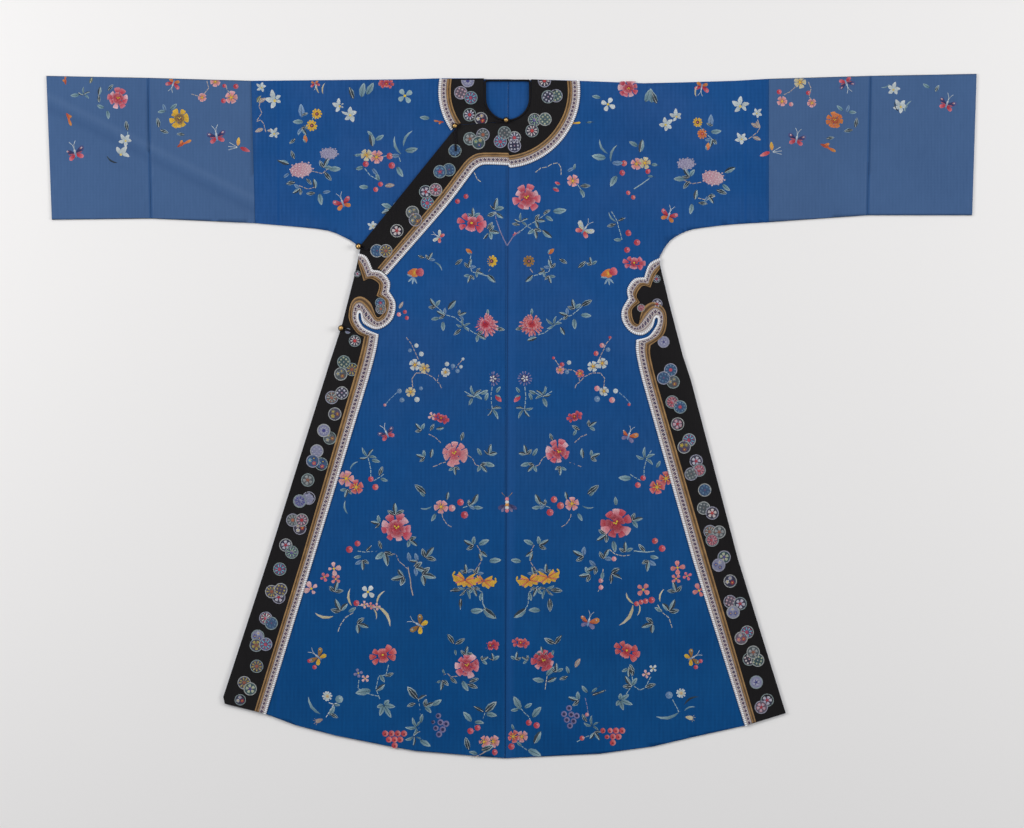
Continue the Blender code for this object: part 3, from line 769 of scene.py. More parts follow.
class Needle:
    """Works a motif in its own plane, which is turned and mirrored into place. Its lengths are in
    the motif's own unit, given in millimetres."""

    def __init__(self, panel, column, row, turn=0.0, mirrored=False, lift=0.0, unit=1.0):
        self.panel, self.lift, self.unit = panel, lift, unit
        self.x, self.y = (value / MM for value in at(column, row))
        self.turn = math.radians(turn)
        self.flip = -1 if mirrored else 1

    def mm(self, value):
        """A length in millimetres, in the motif's unit."""
        return value / self.unit

    def patch(self, u, v, heading, length, width, rim, heart, form="round", lift=0.0, sides=8, bend=0.0):
        """One patch of stitches that runs from a point at a heading, in degrees."""
        u, v, length, width, bend = (value * self.unit for value in (u, v, length, width, bend))
        made = bmesh.ops.create_cone(
            self.panel.shape, cap_ends=True, segments=sides, radius1=1, radius2=0, depth=1)["verts"]
        angle = math.radians(heading)
        cosine, sine = math.cos(angle), math.sin(angle)
        turn_cosine, turn_sine = math.cos(self.turn), math.sin(self.turn)
        tone = random.uniform(0.86, 1.08)
        origin = self.panel.height(self.x, self.y) + self.lift + lift
        spots = {}
        for vert in made:
            a = math.atan2(vert.co.y, vert.co.x)
            apex = vert.co.z > 0
            if apex:
                along, across = 0.45, 0.12 if form == "half" else 0.0
            else:
                along, across = 0.5 + 0.5 * math.cos(a), math.sin(a)
                if form == "round":
                    across *= 0.74 + 0.34 * math.cos(a)
                elif form == "heart":
                    across *= 0.76 + 0.40 * math.cos(a)
                    along -= 0.17 * math.exp(-(a / 0.5) ** 2)
                elif form == "leaf":
                    across *= abs(across) ** 0.5 * (1 - 0.2 * math.cos(a))
                elif form == "half":
                    across = max(0.0, across) ** 1.3
                elif form == "bar":
                    across = max(-1.0, min(1.0, 2.2 * across))
            reach = along * length
            side = across * width * 0.5 + bend * 4 * along * (1 - along)
            local_u, local_v = u + reach * cosine - side * sine, v + reach * sine + side * cosine
            x = self.x + self.flip * (local_u * turn_cosine - local_v * turn_sine)
            y = self.y + local_u * turn_sine + local_v * turn_cosine
            z = origin + (PATCH_HEIGHT if apex else -0.06)
            share = 0.12 if apex else along ** 1.6
            vert[self.panel.dye] = (*(tone * value for value in mixed(heart, rim, share)), 1)
            vert.co = Vector((x, y, z)) * MM
            spots[vert] = (reach * MM, across * width * 0.5 * MM)
        for vert in made:
            for loop in vert.link_loops:
                loop[self.panel.uv].uv = spots[loop.vert]

    def dot(self, u, v, radius, rim, heart=None, lift=0.0, sides=7):
        """A small round knot."""
        self.patch(u - radius, v, 0, 2 * radius, 2 * radius, rim, heart or rim, "disc", lift, sides)

    def stem(self, points, colour, width=2.0):
        """A line of stitches through points given in pixels of the photograph."""
        first, top = points[0]
        placed = [((column - first) * PIXEL_MM, (top - row) * PIXEL_MM) for column, row in points]
        shade = mixed(colour, (0, 0, 0), 0.06)
        for (au, av), (bu, bv) in zip(placed, placed[1:]):
            run = math.hypot(bu - au, bv - av)
            heading = math.degrees(math.atan2(bv - av, bu - au))
            pieces = max(1, round(run / STITCH_LENGTH))
            for i in range(pieces):
                share = i / pieces
                self.patch(au + (bu - au) * share, av + (bv - av) * share, heading, run / pieces + STITCH_LAP,
                           width, colour, shade, "bar", -0.05, 6, random.uniform(-0.5, 0.5))

    def ring(self, count, near, length, width, rim, heart, form="round", lift=0.0, start=0.0, sides=8):
        """Petals round the middle of a flower."""
        for i in range(count):
            heading = start + 360 * i / count + random.uniform(-5, 5)
            reach = length * random.uniform(0.92, 1.06)
            self.patch(*around(near, heading), heading, reach, width, rim, heart, form, lift, sides)


def leaf(needle, heading, length, tone, width=None, bend=0.0):
    """A pointed leaf: a pale one with a dark vein, a dark one edged with white, or half of each."""
    length *= 1.12
    width = width or length * 0.46
    rim, heart, _ = DYES["pale" if tone in ("dark", "split") else tone]
    edge = mixed(rim, RIB_WHITE, 0.55) if tone == "dark" else rim
    needle.patch(0, 0, heading, length, width, edge, heart, "leaf", 0, 8, bend)
    dark_rim, dark_heart, _ = DYES["dark"]
    if tone == "dark":
        needle.patch(0, 0, heading, length * 0.9, width * 0.66, dark_rim, dark_heart, "leaf", 0.16, 8, bend)
    elif tone == "split":
        needle.patch(0, 0, heading, length * 0.94, width * 0.86, dark_rim, dark_heart, "half", 0.16, 8, bend)
    vein = dark_rim if tone in ("pale", "blue") else RIB_WHITE
    needle.patch(0, 0, heading, length * 0.86, needle.mm(0.8), vein, vein, "bar", 0.36, 6, bend)


def ruffle(needle, count, near, length, width, rim, heart, lift, start, pale_one=3):
    """A round of petals that differ in length and width, and lap over each other."""
    for i in range(count):
        heading = start + 360 * i / count + random.uniform(-9, 9)
        reach = random.uniform(0.72, 1.08)
        outer, inner = mixed(rim, heart, random.uniform(0, 0.5)), heart
        if i % 3 == pale_one:
            outer, inner = mixed(rim, PETAL_WHITE, 0.8), mixed(heart, rim, 0.6)
        needle.patch(*around(near, heading), heading, length * reach, width * (0.5 + 0.5 * reach), outer,
                     inner, "heart", lift + 0.05 * (i % 3), 10)


def peony(needle, dye):
    rim, heart, deep = DYES[dye]
    needle.unit *= 1.07
    pale_one = random.choice((0, 1, 2)) if dye in ("rose", "red", "coral") else 3
    ruffle(needle, 9, 0.34, 0.66, 0.62, rim, heart, 0, random.uniform(0, 40), pale_one)
    ruffle(needle, 7, 0.14, 0.52, 0.50, rim, deep, 0.25, random.uniform(0, 50))
    ruffle(needle, 5, 0.02, 0.36, 0.34, mixed(rim, heart, 0.6), deep, 0.5, 5)
    for u, v in ((0, 0), (0.11, 0.08), (-0.10, 0.09)):
        needle.dot(u, v, 0.06, DYES["yellow"][0], lift=0.75)


def side_peony(needle, dye):
    """A peony seen from its side: two lobes of petals, and a few small ones between them."""
    rim, heart, deep = DYES[dye]
    for side in (1, -1):
        for heading, near, length, width in (
                (-28, 0.28, 0.62, 0.50), (8, 0.34, 0.68, 0.52), (44, 0.24, 0.64, 0.50)):
            u, v = around(near, heading)
            turned = heading if side == 1 else 180 - heading
            outer = mixed(rim, heart, random.uniform(0, 0.4))
            needle.patch(side * u, v * 0.7, turned, length * random.uniform(0.9, 1.08), width, outer, heart,
                         "heart", 0.03 * side, 10)
    for heading in (-118, -70, 70, 112):
        needle.patch(0, 0, heading, 0.52, 0.40, rim, heart, "heart", 0.12, 9)
    ruffle(needle, 5, 0.03, 0.34, 0.32, mixed(rim, heart, 0.6), deep, 0.35, 20)
    needle.dot(0, 0.05, 0.07, DYES["yellow"][0], lift=0.6)


def chrysanthemum(needle, dye):
    """A fan of narrow petals that hang from a red heart at its top."""
    rim, heart, deep = DYES[dye]
    rim = mixed(rim, PETAL_WHITE, 0.45)
    needle.unit *= 1.12
    for count, near, length, lift in ((21, 0.46, 0.56, 0), (18, 0.28, 0.50, 0.2), (14, 0.10, 0.42, 0.4)):
        for i in range(count):
            heading = 100 + 340 * (i + 0.5) / count + random.uniform(-4, 4)
            u, v = around(near, heading)
            drop = 1.0 if v < 0 else 0.76
            outer = mixed(rim, heart, random.uniform(0, 0.45))
            needle.patch(u * drop, v * drop + 0.10, heading, length * drop * random.uniform(0.85, 1.1), 0.22,
                         outer, heart, "round", lift, 7)
    needle.ring(6, 0.0, 0.26, 0.16, heart, deep, "round", 0.6)


def plum(needle, dye):
    rim, heart, _ = DYES[dye]
    yellow, orange = DYES["yellow"][0], DYES["orange"][0]
    needle.unit *= 1.12
    needle.ring(5, 0.12, 0.88, 0.98, rim, heart, "heart", 0, random.uniform(0, 72), 10)
    needle.ring(7, 0.12, 0.36, 0.10, yellow, orange, "bar", 0.36, 0, 6)
    needle.dot(0, 0, 0.17, orange, yellow, 0.44)


def daisy(needle, dye):
    rim, heart, deep = DYES[dye]
    needle.dot(0, 0, 0.74, rim, heart, -0.05, 10)
    needle.ring(10, 0.30, 0.70, 0.56, rim, heart)
    needle.dot(0, 0, 0.40, deep, deep, 0.14, 9)
    needle.dot(0, 0, 0.14, DYES["red"][0], lift=0.42)


def wheel(needle, dye):
    """A round purple passion flower with a white spiral in its middle."""
    rim, heart, deep = DYES[dye]
    needle.ring(14, 0.56, 0.52, 0.28, rim, heart)
    needle.dot(0, 0, 0.60, DYES["navy"][1], deep, 0.1, 10)
    needle.ring(5, 0.06, 0.46, 0.27, DYES["white"][0], DYES["white"][0], "round", 0.4)


def orchid(needle, dye):
    rim, heart, _ = DYES[dye]
    for heading, length in ((95, 1.0), (25, 0.85), (160, 0.9), (-35, 0.75), (-125, 0.8)):
        needle.patch(0, 0, heading, length, 0.52, rim, heart, "leaf", 0, 8, 0.06)
    needle.dot(0, -0.05, 0.14, DYES["cream"][0], DYES["yellow"][0], 0.3)


def cross_flower(needle, dye):
    rim, heart, _ = DYES[dye]
    needle.ring(4, 0.10, 0.90, 0.86, rim, mixed(rim, heart, 0.5), "round", 0, 5, 9)
    needle.dot(0, 0, 0.16, DYES["yellow"][0], lift=0.25)


def floret_head(needle, dye):
    """A head of many tiny florets, as on a hydrangea, spaced by the golden angle."""
    rim, heart = mixed(DYES[dye][0], FLORET_PALE, 0.55), mixed(DYES[dye][1], FLORET_GREY, 0.5)
    needle.patch(-1, 0, 0, 2, 1.3, mixed(rim, heart, 0.5), heart, "disc", 0, 12)
    half, length, width = needle.mm(2.2), needle.mm(4.4), needle.mm(3.0)
    for i in range(38):
        angle, reach = i * 2.399963, math.sqrt((i + 0.5) / 38)
        u, v = reach * math.cos(angle), 0.64 * reach * math.sin(angle)
        shade = random.uniform(0, 0.7)
        inner = mixed(rim, heart, shade)
        needle.patch(u - half, v, 10, length, width, mixed(rim, heart, 0.4 * shade), inner, "round", 0.24, 6)
        needle.patch(u, v - half, 95, length, width, rim, inner, "round", 0.34, 6)


def lily(needle, dye):
    """A wide golden bloom, whose long petals curl up at their tips."""
    rim, heart = (mixed(DYES[dye][i], DYES["orange"][i], share) for i, share in ((0, 0.3), (1, 0.5)))
    needle.unit *= 1.16
    for heading, length, width, bend in (
            (14, 0.95, 0.46, -0.16), (-14, 0.84, 0.48, 0.10), (-44, 0.66, 0.44, 0.08),
            (166, 0.95, 0.46, 0.16), (194, 0.84, 0.48, -0.10), (226, 0.66, 0.44, -0.08),
            (46, 0.72, 0.34, -0.1), (134, 0.72, 0.34, 0.1), (-90, 0.5, 0.4, 0)):
        needle.patch(0, 0, heading, length, width, rim, mixed(heart, rim, 0.35), "leaf", 0.0, 9, bend)
    for side in (1, -1):
        needle.patch(side * 0.86, 0.14, 90 + side * 25, 0.34, 0.16, rim, rim, "round", 0.1, 7)
        for heading in (24, -26):
            turned = heading if side == 1 else 180 - heading
            needle.patch(0, 0, turned, 0.66, 0.08, DYES["red"][0], DYES["orange"][1], "bar", 0.36, 6)


# The fore and the hind wings of a butterfly, by its dye
WINGS = {"navy": ("navy", "red"), "gold": ("gold", "yellow"), "orange": ("orange", "lilac"),
         "white": ("white", "coral"), "red": ("red", "orange")}


def butterfly(needle, dye):
    deep, white = DYES[dye][2], DYES["white"][0]
    needle.unit *= 1.14
    fore, hind = (DYES[wing][:2] for wing in WINGS[dye])
    for side in (1, -1):
        heading = 90 + side * 62
        needle.patch(0, 0, heading, 1, 0.62, *fore, "round", 0, 9, side * 0.05)
        needle.patch(0, -0.1, 90 + side * 118, 0.72, 0.5, *hind, "round", 0.05, 9)
        needle.patch(*around(0.5, heading), heading, 0.28, 0.2, white, deep, "round", 0.3, 6)
        needle.patch(0, 0.3, 90 + side * 22, 0.85, needle.mm(0.9), RIB_WHITE, RIB_WHITE, "bar", 0.1, 6,
                     side * -0.1)
        needle.patch(0, -0.05, 90 + side * 84, 0.6, 0.14, deep, deep, "round", 0.34, 6)
    needle.patch(0, -0.42, 90, 0.82, 0.16, white, DYES["blue"][1], "bar", 0.3, 8)


def bee(needle, dye):
    rim, heart, _ = DYES[dye]
    feeler, tip = DYES["orange"][0], DYES["olive"][0]
    for side in (1, -1):
        needle.patch(0, 0.1, 90 + side * 118, 0.95, 0.42, rim, heart, "round", 0, 8)
        needle.patch(0, 0.2, 90 + side * 150, 0.9, 0.34, DYES["lilac"][0], heart, "round", 0.05, 8)
        needle.patch(0, 0.55, 90 + side * 42, 0.7, needle.mm(0.9), feeler, tip, "bar", 0, 6)
    for i, tone in enumerate(("red", "white", "orange", "white", "red")):
        needle.dot(0, 0.5 - 0.24 * i, 0.17, DYES[tone][0], lift=0.28)


def grapes(needle, dye):
    rim, heart, _ = DYES[dye]
    for u, v in ((0, 1), (-0.55, 0.35), (0.25, 0.3), (0.85, 0.15), (-0.25, -0.3), (0.5, -0.45), (0.1, -0.95)):
        needle.dot(u, v, 0.34, rim, heart, 0.05, 10)
        needle.dot(u, v, 0.18, DYES["navy"][1], lift=0.4)


def coral_bunch(needle, dye):
    """A bunch of small red fruits, wide at its top."""
    rim, heart, _ = DYES[dye]
    for row, columns in enumerate(((-1.5, -0.5, 0.5, 1.5), (-0.9, 0, 0.9), (0,))):
        for column in columns:
            u, v = column * 0.48, 0.5 - 0.46 * row
            needle.dot(u, v, 0.24, rim, heart, 0.1, 9)
            needle.dot(u, v - 0.03, 0.09, DYES["red"][2], lift=0.36)


def bud(needle, dye):
    rim, heart, _ = DYES[dye]
    needle.patch(0, 0, 90, 1, 0.55, rim, heart, "leaf", 0.1, 9)
    needle.patch(0, 0, 116, 0.62, 0.3, DYES["pale"][0], DYES["pale"][1], "leaf", 0.15, 7)


def moth(needle, dye):
    """A butterfly seen from its side, with a yellow wing up and the other one trailing."""
    rim, heart, _ = DYES[dye]
    back = -1 if dye == "coral" else 1
    needle.patch(0, 0, 90 - 6 * back, 0.95, 0.42, DYES["yellow"][0], DYES["orange"][0], "leaf", 0, 9)
    needle.patch(0.2 * back, -0.1, 90 - 112 * back, 1.05, 0.40, rim, heart, "leaf", 0.1, 9)
    for rise in (60, 84, 104):
        needle.patch(0, -0.1, 90 + rise * back, 1, needle.mm(1.0), RIB_WHITE, RIB_WHITE, "bar", 0.1, 6)


def split_fruit(needle, dye):
    """A ripe pomegranate, yellow on one side, above a few curled leaves."""
    rim, heart, _ = DYES[dye]
    for heading in (-55, -90, -128, 168):
        needle.patch(-0.1, -0.3, heading, 0.8, 0.22, DYES["pale"][0], DYES["blue"][0], "leaf", 0, 8)
    needle.patch(-0.8, 0, 8, 1.2, 1.1, rim, heart, "round", 0.1, 10)
    needle.patch(-0.1, 0.1, 12, 0.95, 1, DYES["red"][0], DYES["red"][1], "round", 0.2, 10)
    needle.dot(-0.2, 0.1, 0.24, DYES["yellow"][0], heart, 0.4, 8)


def long_bud(needle, dye):
    rim, heart, deep = DYES[dye]
    needle.patch(-1, 0, 8, 1.25, 0.62, heart, deep, "round", 0, 9)
    needle.patch(-0.1, 0.05, 2, 1.2, 0.46, rim, heart, "round", 0.15, 9)
    needle.patch(-0.5, 0.1, 40, 0.7, 0.4, rim, heart, "round", 0.22, 8)


def berry(needle, dye):
    rim, heart, _ = DYES[dye]
    needle.dot(0, 0, 0.5, rim, heart, 0.1, 8)
    # A painted highlight: a small paler dot off the berry's middle
    needle.dot(0.1, 0.1, 0.12, mixed(rim, (1, 0.8, 0.8), 0.2), lift=0.42)


def bulb(needle, dye):
    rim, heart, _ = DYES[dye]
    needle.patch(-0.7, 0, 0, 1.3, 0.9, rim, heart, "round", 0.0, 9)
    for heading in (-70, -35, 20, 60):
        needle.patch(0.3, 0, heading, 0.6, needle.mm(0.8), rim, heart, "bar", 0.05, 6)


def blade(needle, dye):
    """A long, bowed grass leaf."""
    rim, heart, _ = DYES[dye]
    needle.patch(0, 0, 90, 1, max(needle.mm(2.0), 0.13), rim, heart, "leaf", 0.05, 10, 0.16)


def fan(needle, dye):
    for heading, length, tone in ((-62, 0.76, dye), (4, 1.0, "split"), (60, 0.76, "dark")):
        leaf(needle, 90 + heading, length, tone, 0.46, 0.05)


def star(needle, dye):
    for i, heading in enumerate((-98, -36, 30, 96)):
        leaf(needle, 90 + heading, 0.78 + 0.1 * (i % 3), dye if i % 2 else "pale", 0.3, 0.1)


def ivy(needle, dye):
    """A broad leaf of five points with a pale edge."""
    for heading, length in ((0, 1.0), (52, 0.78), (-52, 0.78), (105, 0.5), (-105, 0.5)):
        leaf(needle, 90 + heading, length, dye, 0.40)


def single_leaf(needle, dye):
    leaf(needle, 90, 1, dye, bend=random.uniform(-0.05, 0.05))


MOTIFS = {
    "peony": peony, "side_peony": side_peony, "chrysanthemum": chrysanthemum, "plum": plum, "daisy": daisy,
    "wheel": wheel, "orchid": orchid, "cross": cross_flower, "hydrangea": floret_head, "lily": lily,
    "moth": moth, "split_fruit": split_fruit, "butterfly": butterfly, "bee": bee, "grapes": grapes,
    "coral": coral_bunch, "bud": bud, "long_bud": long_bud, "berry": berry, "bulb": bulb, "blade": blade,
    "fan": fan, "star": star, "ivy": ivy, "leaf": single_leaf,
}

# Blossoms, insects and fruit: for each motif and its dye, their (column, row, turn, size in pixels).
# One that is worked twice is mirrored about the centre seam too, a little apart from its double.
BLOSSOMS = [
    ("side_peony rose", [(471.5, 224, -8, 17)]),
    ("peony rose", [(526.5, 198, 10, 14.5), (558.5, 452, -20, 13), (628.6, 88, 182, 10.6)]),
    ("plum pink", [(573, 181, 20, 6.5), (560, 370, 10, 4.4), (572, 503.6, 0, 7.4), (522, 736.4, 25, 6.2),
     (636.5, 164, 0, 6.2), (782, 101.4, 0, 5.4), (811.7, 103.2, 20, 4.8)]),
    ("bud red", [(553, 188, -120, 7), (560, 185, 60, 6)]),
    ("berry red", [(466, 196.5, 0, 5), (457.5, 201.5, 0, 5), (405, 312, 0, 4), (407, 318, 0, 4),
     (371, 479, 0, 5.6), (460.5, 502.3, 0, 6.8), (464.5, 514.8, 0, 7.4), (349.5, 549.4, 0, 7),
     (357.6, 543.4, 0, 6), (356.5, 603, 0, 6), (309.4, 660.7, 0, 4), (314.7, 667, 0, 4.4),
     (470.5, 730.8, 0, 6.4), (477.6, 727.6, 0, 6), (494.4, 752, 0, 6.4), (365.8, 164.1, 0, 6),
     (391.8, 165.6, 0, 6.6), (380.6, 184.3, 0, 5), (384, 222, 0, 4.6), (223.6, 101, 0, 5),
     (236, 86.5, 0, 5.4), (224.5, 86, 0, 4)]),
    ("butterfly white", [(439, 237, 60, 7), (584, 230, -35, 10)]), ("long_bud pink", [(516, 234, 25, 4)]),
    ("side_peony rose", [(634, 263.5, -6, 13)]),
    ("berry red", [(628.5, 233, 0, 6.5), (637, 242.5, 0, 6.5), (627, 250, 0, 6), (562, 364.5, 0, 4.5),
     (553.5, 358, 0, 3), (610, 337.5, 0, 3), (629, 404.5, 0, 3), (643, 478, 0, 5.4), (550, 512.3, 0, 7.2),
     (662, 548.4, 0, 6.8), (651.6, 600, 0, 6.6), (700.6, 661, 0, 4), (695.8, 667, 0, 4.4),
     (528.8, 722.6, 0, 6), (536.6, 725.2, 0, 6.4), (511.4, 746.4, 0, 6.6), (622, 173, 0, 6),
     (648, 171.6, 0, 5.4), (779, 92, 0, 5), (808, 93, 0, 4.6)]),
    ("split_fruit orange", [(415, 274, -8, 10.4), (609, 274.5, 8, 10.4)]),
    ("daisy yellow", [(491.3, 261.3, 0, 6.3), (316.9, 114.1, 0, 5.6), (311.8, 125.7, 0, 6)]),
    ("daisy gold", [(528.8, 261.3, 0, 6.3)]),
    ("bud orange", [(472, 254, 50, 8), (306.1, 142.9, 10, 8), (548, 254, -50, 8), (707, 150.5, -10, 8)]),
    ("chrysanthemum rose", [(485.5, 325, 14, 12.5)]), ("chrysanthemum coral", [(531.5, 325, -14, 12)]),
    ("plum white", [(415, 364.8, 0, 6), (445.5, 372.2, -10, 4.6)]),
    ("plum cream", [(424.6, 368.4, 30, 6), (410.7, 392, 10, 5.2), (366.7, 155.2, 0, 6.4)]),
    ("plum white", [(593, 366.4, 0, 5.8), (602.3, 363.2, 30, 5.8), (604, 391.3, 10, 5.2)]),
    ("berry white", [(463, 359, 0, 3), (447, 364, 0, 4.5), (461, 366.8, 0, 3.6), (416.5, 345.6, 0, 4.4),
     (421.5, 354, 0, 5), (417, 399.5, 0, 5.4)]),
    ("berry blue", [(453, 366, 0, 4.5), (457.5, 371, 0, 4.5), (410, 350.5, 0, 4), (399.5, 391, 0, 5),
     (402, 400, 0, 5), (421, 388.4, 0, 4)]),
    ("berry pink", [(385, 405, 0, 3), (399, 314.5, 0, 4.4), (452, 508, 0, 7)]),
    ("berry white", [(569, 362.6, 0, 4.5), (615.5, 391, 0, 5)]),
    ("berry blue", [(567, 372, 0, 4.4), (608, 349.6, 0, 4.6), (597, 399, 0, 6), (669, 695, 0, 7.4)]),
    ("plum coral", [(580, 373.5, 0, 4.4), (666, 478.5, 0, 7.4), (657, 487, 30, 8), (513.3, 736.4, 0, 6.6)]),
    ("berry coral", [(596, 353.5, 0, 5), (637.8, 485, 0, 5.8), (560.5, 505.6, 0, 7.2), (554, 499.5, 0, 6.6),
     (655, 541, 0, 6.4), (636.5, 603.6, 0, 5), (641, 602, 0, 5), (645.6, 601, 0, 5.4), (582, 738, 0, 5),
     (624, 163.5, 0, 6), (633, 197.5, 0, 4.8), (628, 193, 0, 4.6)]),
    ("berry pink", [(602, 345.4, 0, 5), (597, 388.5, 0, 5.6), (612, 400, 0, 6), (600.8, 580.6, 0, 4.8),
     (601, 587.4, 0, 5), (614, 558.8, 0, 5), (587, 714.4, 0, 4), (791, 104.4, 0, 4.4)]),
    ("wheel lilac twice", [(492.8, 378.8, 0, 7)]), ("bud red twice", [(495.6, 395, -140, 9)]),
    ("side_peony red", [(441, 418.5, -20, 9), (490.3, 645.6, 6, 9.6)]),
    ("cross pink", [(432, 416, 20, 4.5), (334, 568.5, 0, 8), (311.5, 588.5, 20, 8), (364.5, 604.5, 0, 4.2),
     (377, 606.6, 0, 4), (365.3, 678.4, 40, 4.6)]), ("side_peony red", [(574.5, 417, 20, 9)]),
    ("peony pink", [(454.5, 453.5, 20, 14)]),
    ("butterfly navy", [(387, 434, 25, 9), (75.5, 153.5, 15, 10.5), (216.8, 137, 10, 10)]),
    ("butterfly orange", [(628.5, 436, -20, 9), (588.5, 622, -15, 10)]),
    ("berry coral", [(375.5, 487, 0, 6.2), (389.7, 156.2, 0, 6.6), (375.8, 189.6, 0, 5),
     (375.5, 231, 0, 4)]),
    ("plum pink", [(346.5, 478.5, 0, 8.4), (441.3, 506.8, 0, 7.4), (484, 741.5, 0, 6.6),
     (493.3, 741.3, 25, 6.6), (376.7, 157.1, 30, 7), (231.5, 97.6, 0, 6.8), (202.4, 97.6, 30, 4.8),
     (215.6, 81.8, 0, 5.6)]), ("plum coral", [(356.5, 487, 30, 7.8)]), ("bee navy", [(507, 505, 0, 12)]),
    ("peony rose", [(396.5, 528, 0, 16.5), (467, 665.5, 15, 13), (118.2, 98.6, 0, 11)]),
    ("peony red", [(616, 523.5, 30, 16), (543, 660.6, -15, 12.5)]),
    ("lily yellow", [(465, 580, -10, 13.5), (484, 581, -14, 12), (529.5, 580, 14, 13),
     (548, 577, 12, 12.5)]), ("butterfly gold", [(419.5, 625, 60, 10.5), (318.5, 657, 50, 9.5)]),
    ("cross coral", [(336, 579, 40, 5.6), (371, 605.8, 0, 4)]), ("cross red", [(324.5, 577, 20, 5)]),
    ("cross white", [(368, 591.8, 45, 8), (388.5, 209, 20, 4.6)]),
    ("cross coral", [(699, 590.5, 20, 7.4), (677.5, 567.6, 0, 8), (676, 578.6, 40, 5.6),
     (643.2, 589.6, 45, 8)]), ("cross red", [(687, 576, 20, 5)]),
    ("butterfly gold", [(691.5, 658, -60, 9)]),
    ("side_peony coral", [(383, 655.5, 14, 16), (386.3, 83.5, 178, 9), (626.5, 651, -22, 16),
     (520.6, 643, -8, 9.8)]), ("cross lilac", [(358.4, 673, 10, 5)]), ("cross pink", [(646, 674, 10, 4.6)]),
    ("cross white", [(653, 668.4, 40, 4.4), (608, 104.5, -30, 8)]),
    ("daisy white", [(327.4, 696, 0, 5.4), (681, 693, 0, 5.2)]), ("berry pale", [(339.3, 699, 0, 8)]),
    ("bulb tan", [(319, 720.4, -160, 7)]), ("bulb cream", [(689.5, 717.6, -10, 7)]),
    ("grapes lilac", [(438, 725, 0, 9.5), (569, 717, 0, 9)]),
    ("coral coral", [(394.7, 739.8, 0, 13), (612.8, 737, 0, 13)]),
    ("orchid white", [(275, 100.3, 10, 12), (261.7, 87.4, 50, 6.6), (274.6, 133.7, -30, 8),
     (350, 115.1, 60, 10), (340, 106, 0, 9), (373, 226, 60, 6.4), (125.7, 140.6, 30, 8.6),
     (121.5, 154.6, -40, 10), (740.5, 106, -10, 11), (757, 113.5, -50, 6.6), (741.5, 139, 30, 7.6),
     (666, 125, -60, 9.6), (676.5, 116.5, 0, 8.4), (900.6, 106.6, 30, 9.4), (893.4, 89.6, -20, 8.6)]),
    ("daisy orange", [(702, 134, 0, 5.4)]), ("daisy yellow", [(697.5, 122.4, 0, 5.2)]),
    ("cross pale", [(404.9, 96, 30, 8.6)]),
    ("butterfly red", [(315.1, 84, 190, 5), (342.8, 203.4, 20, 9.6), (173.5, 83.5, 160, 7.6),
     (701.6, 87, 170, 7.6), (668.5, 216, -20, 9)]),
    ("long_bud orange", [(439.3, 121.3, 170, 5), (68, 118.5, -70, 7.5), (66, 80, 90, 5.6),
     (183.9, 144.4, 24, 8)]), ("long_bud yellow", [(574, 123.8, 5, 6)]),
    ("hydrangea pink", [(301.3, 170, 8, 12.6)]), ("hydrangea lilac", [(329, 153.8, 0, 9.6)]),
    ("hydrangea pink", [(713, 178, -8, 12.4)]), ("hydrangea lilac", [(686, 164, 0, 9.6)]),
    ("plum cream", [(645, 163, 30, 6.4), (800, 82.4, 0, 6.6)]),
    ("butterfly navy", [(946.5, 104.6, -20, 9.5), (846, 83, -160, 8.6), (796.4, 139.6, -10, 9.4)]),
    ("peony yellow", [(179.5, 118.8, 0, 10.2)]), ("peony orange", [(834.5, 120.6, 0, 9)]),
    ("long_bud orange", [(827, 148, -28, 8.6)]), ("moth red", [(238, 146.5, 0, 10.5)]),
    ("moth coral", [(772, 151, 0, 10.5)]),
]
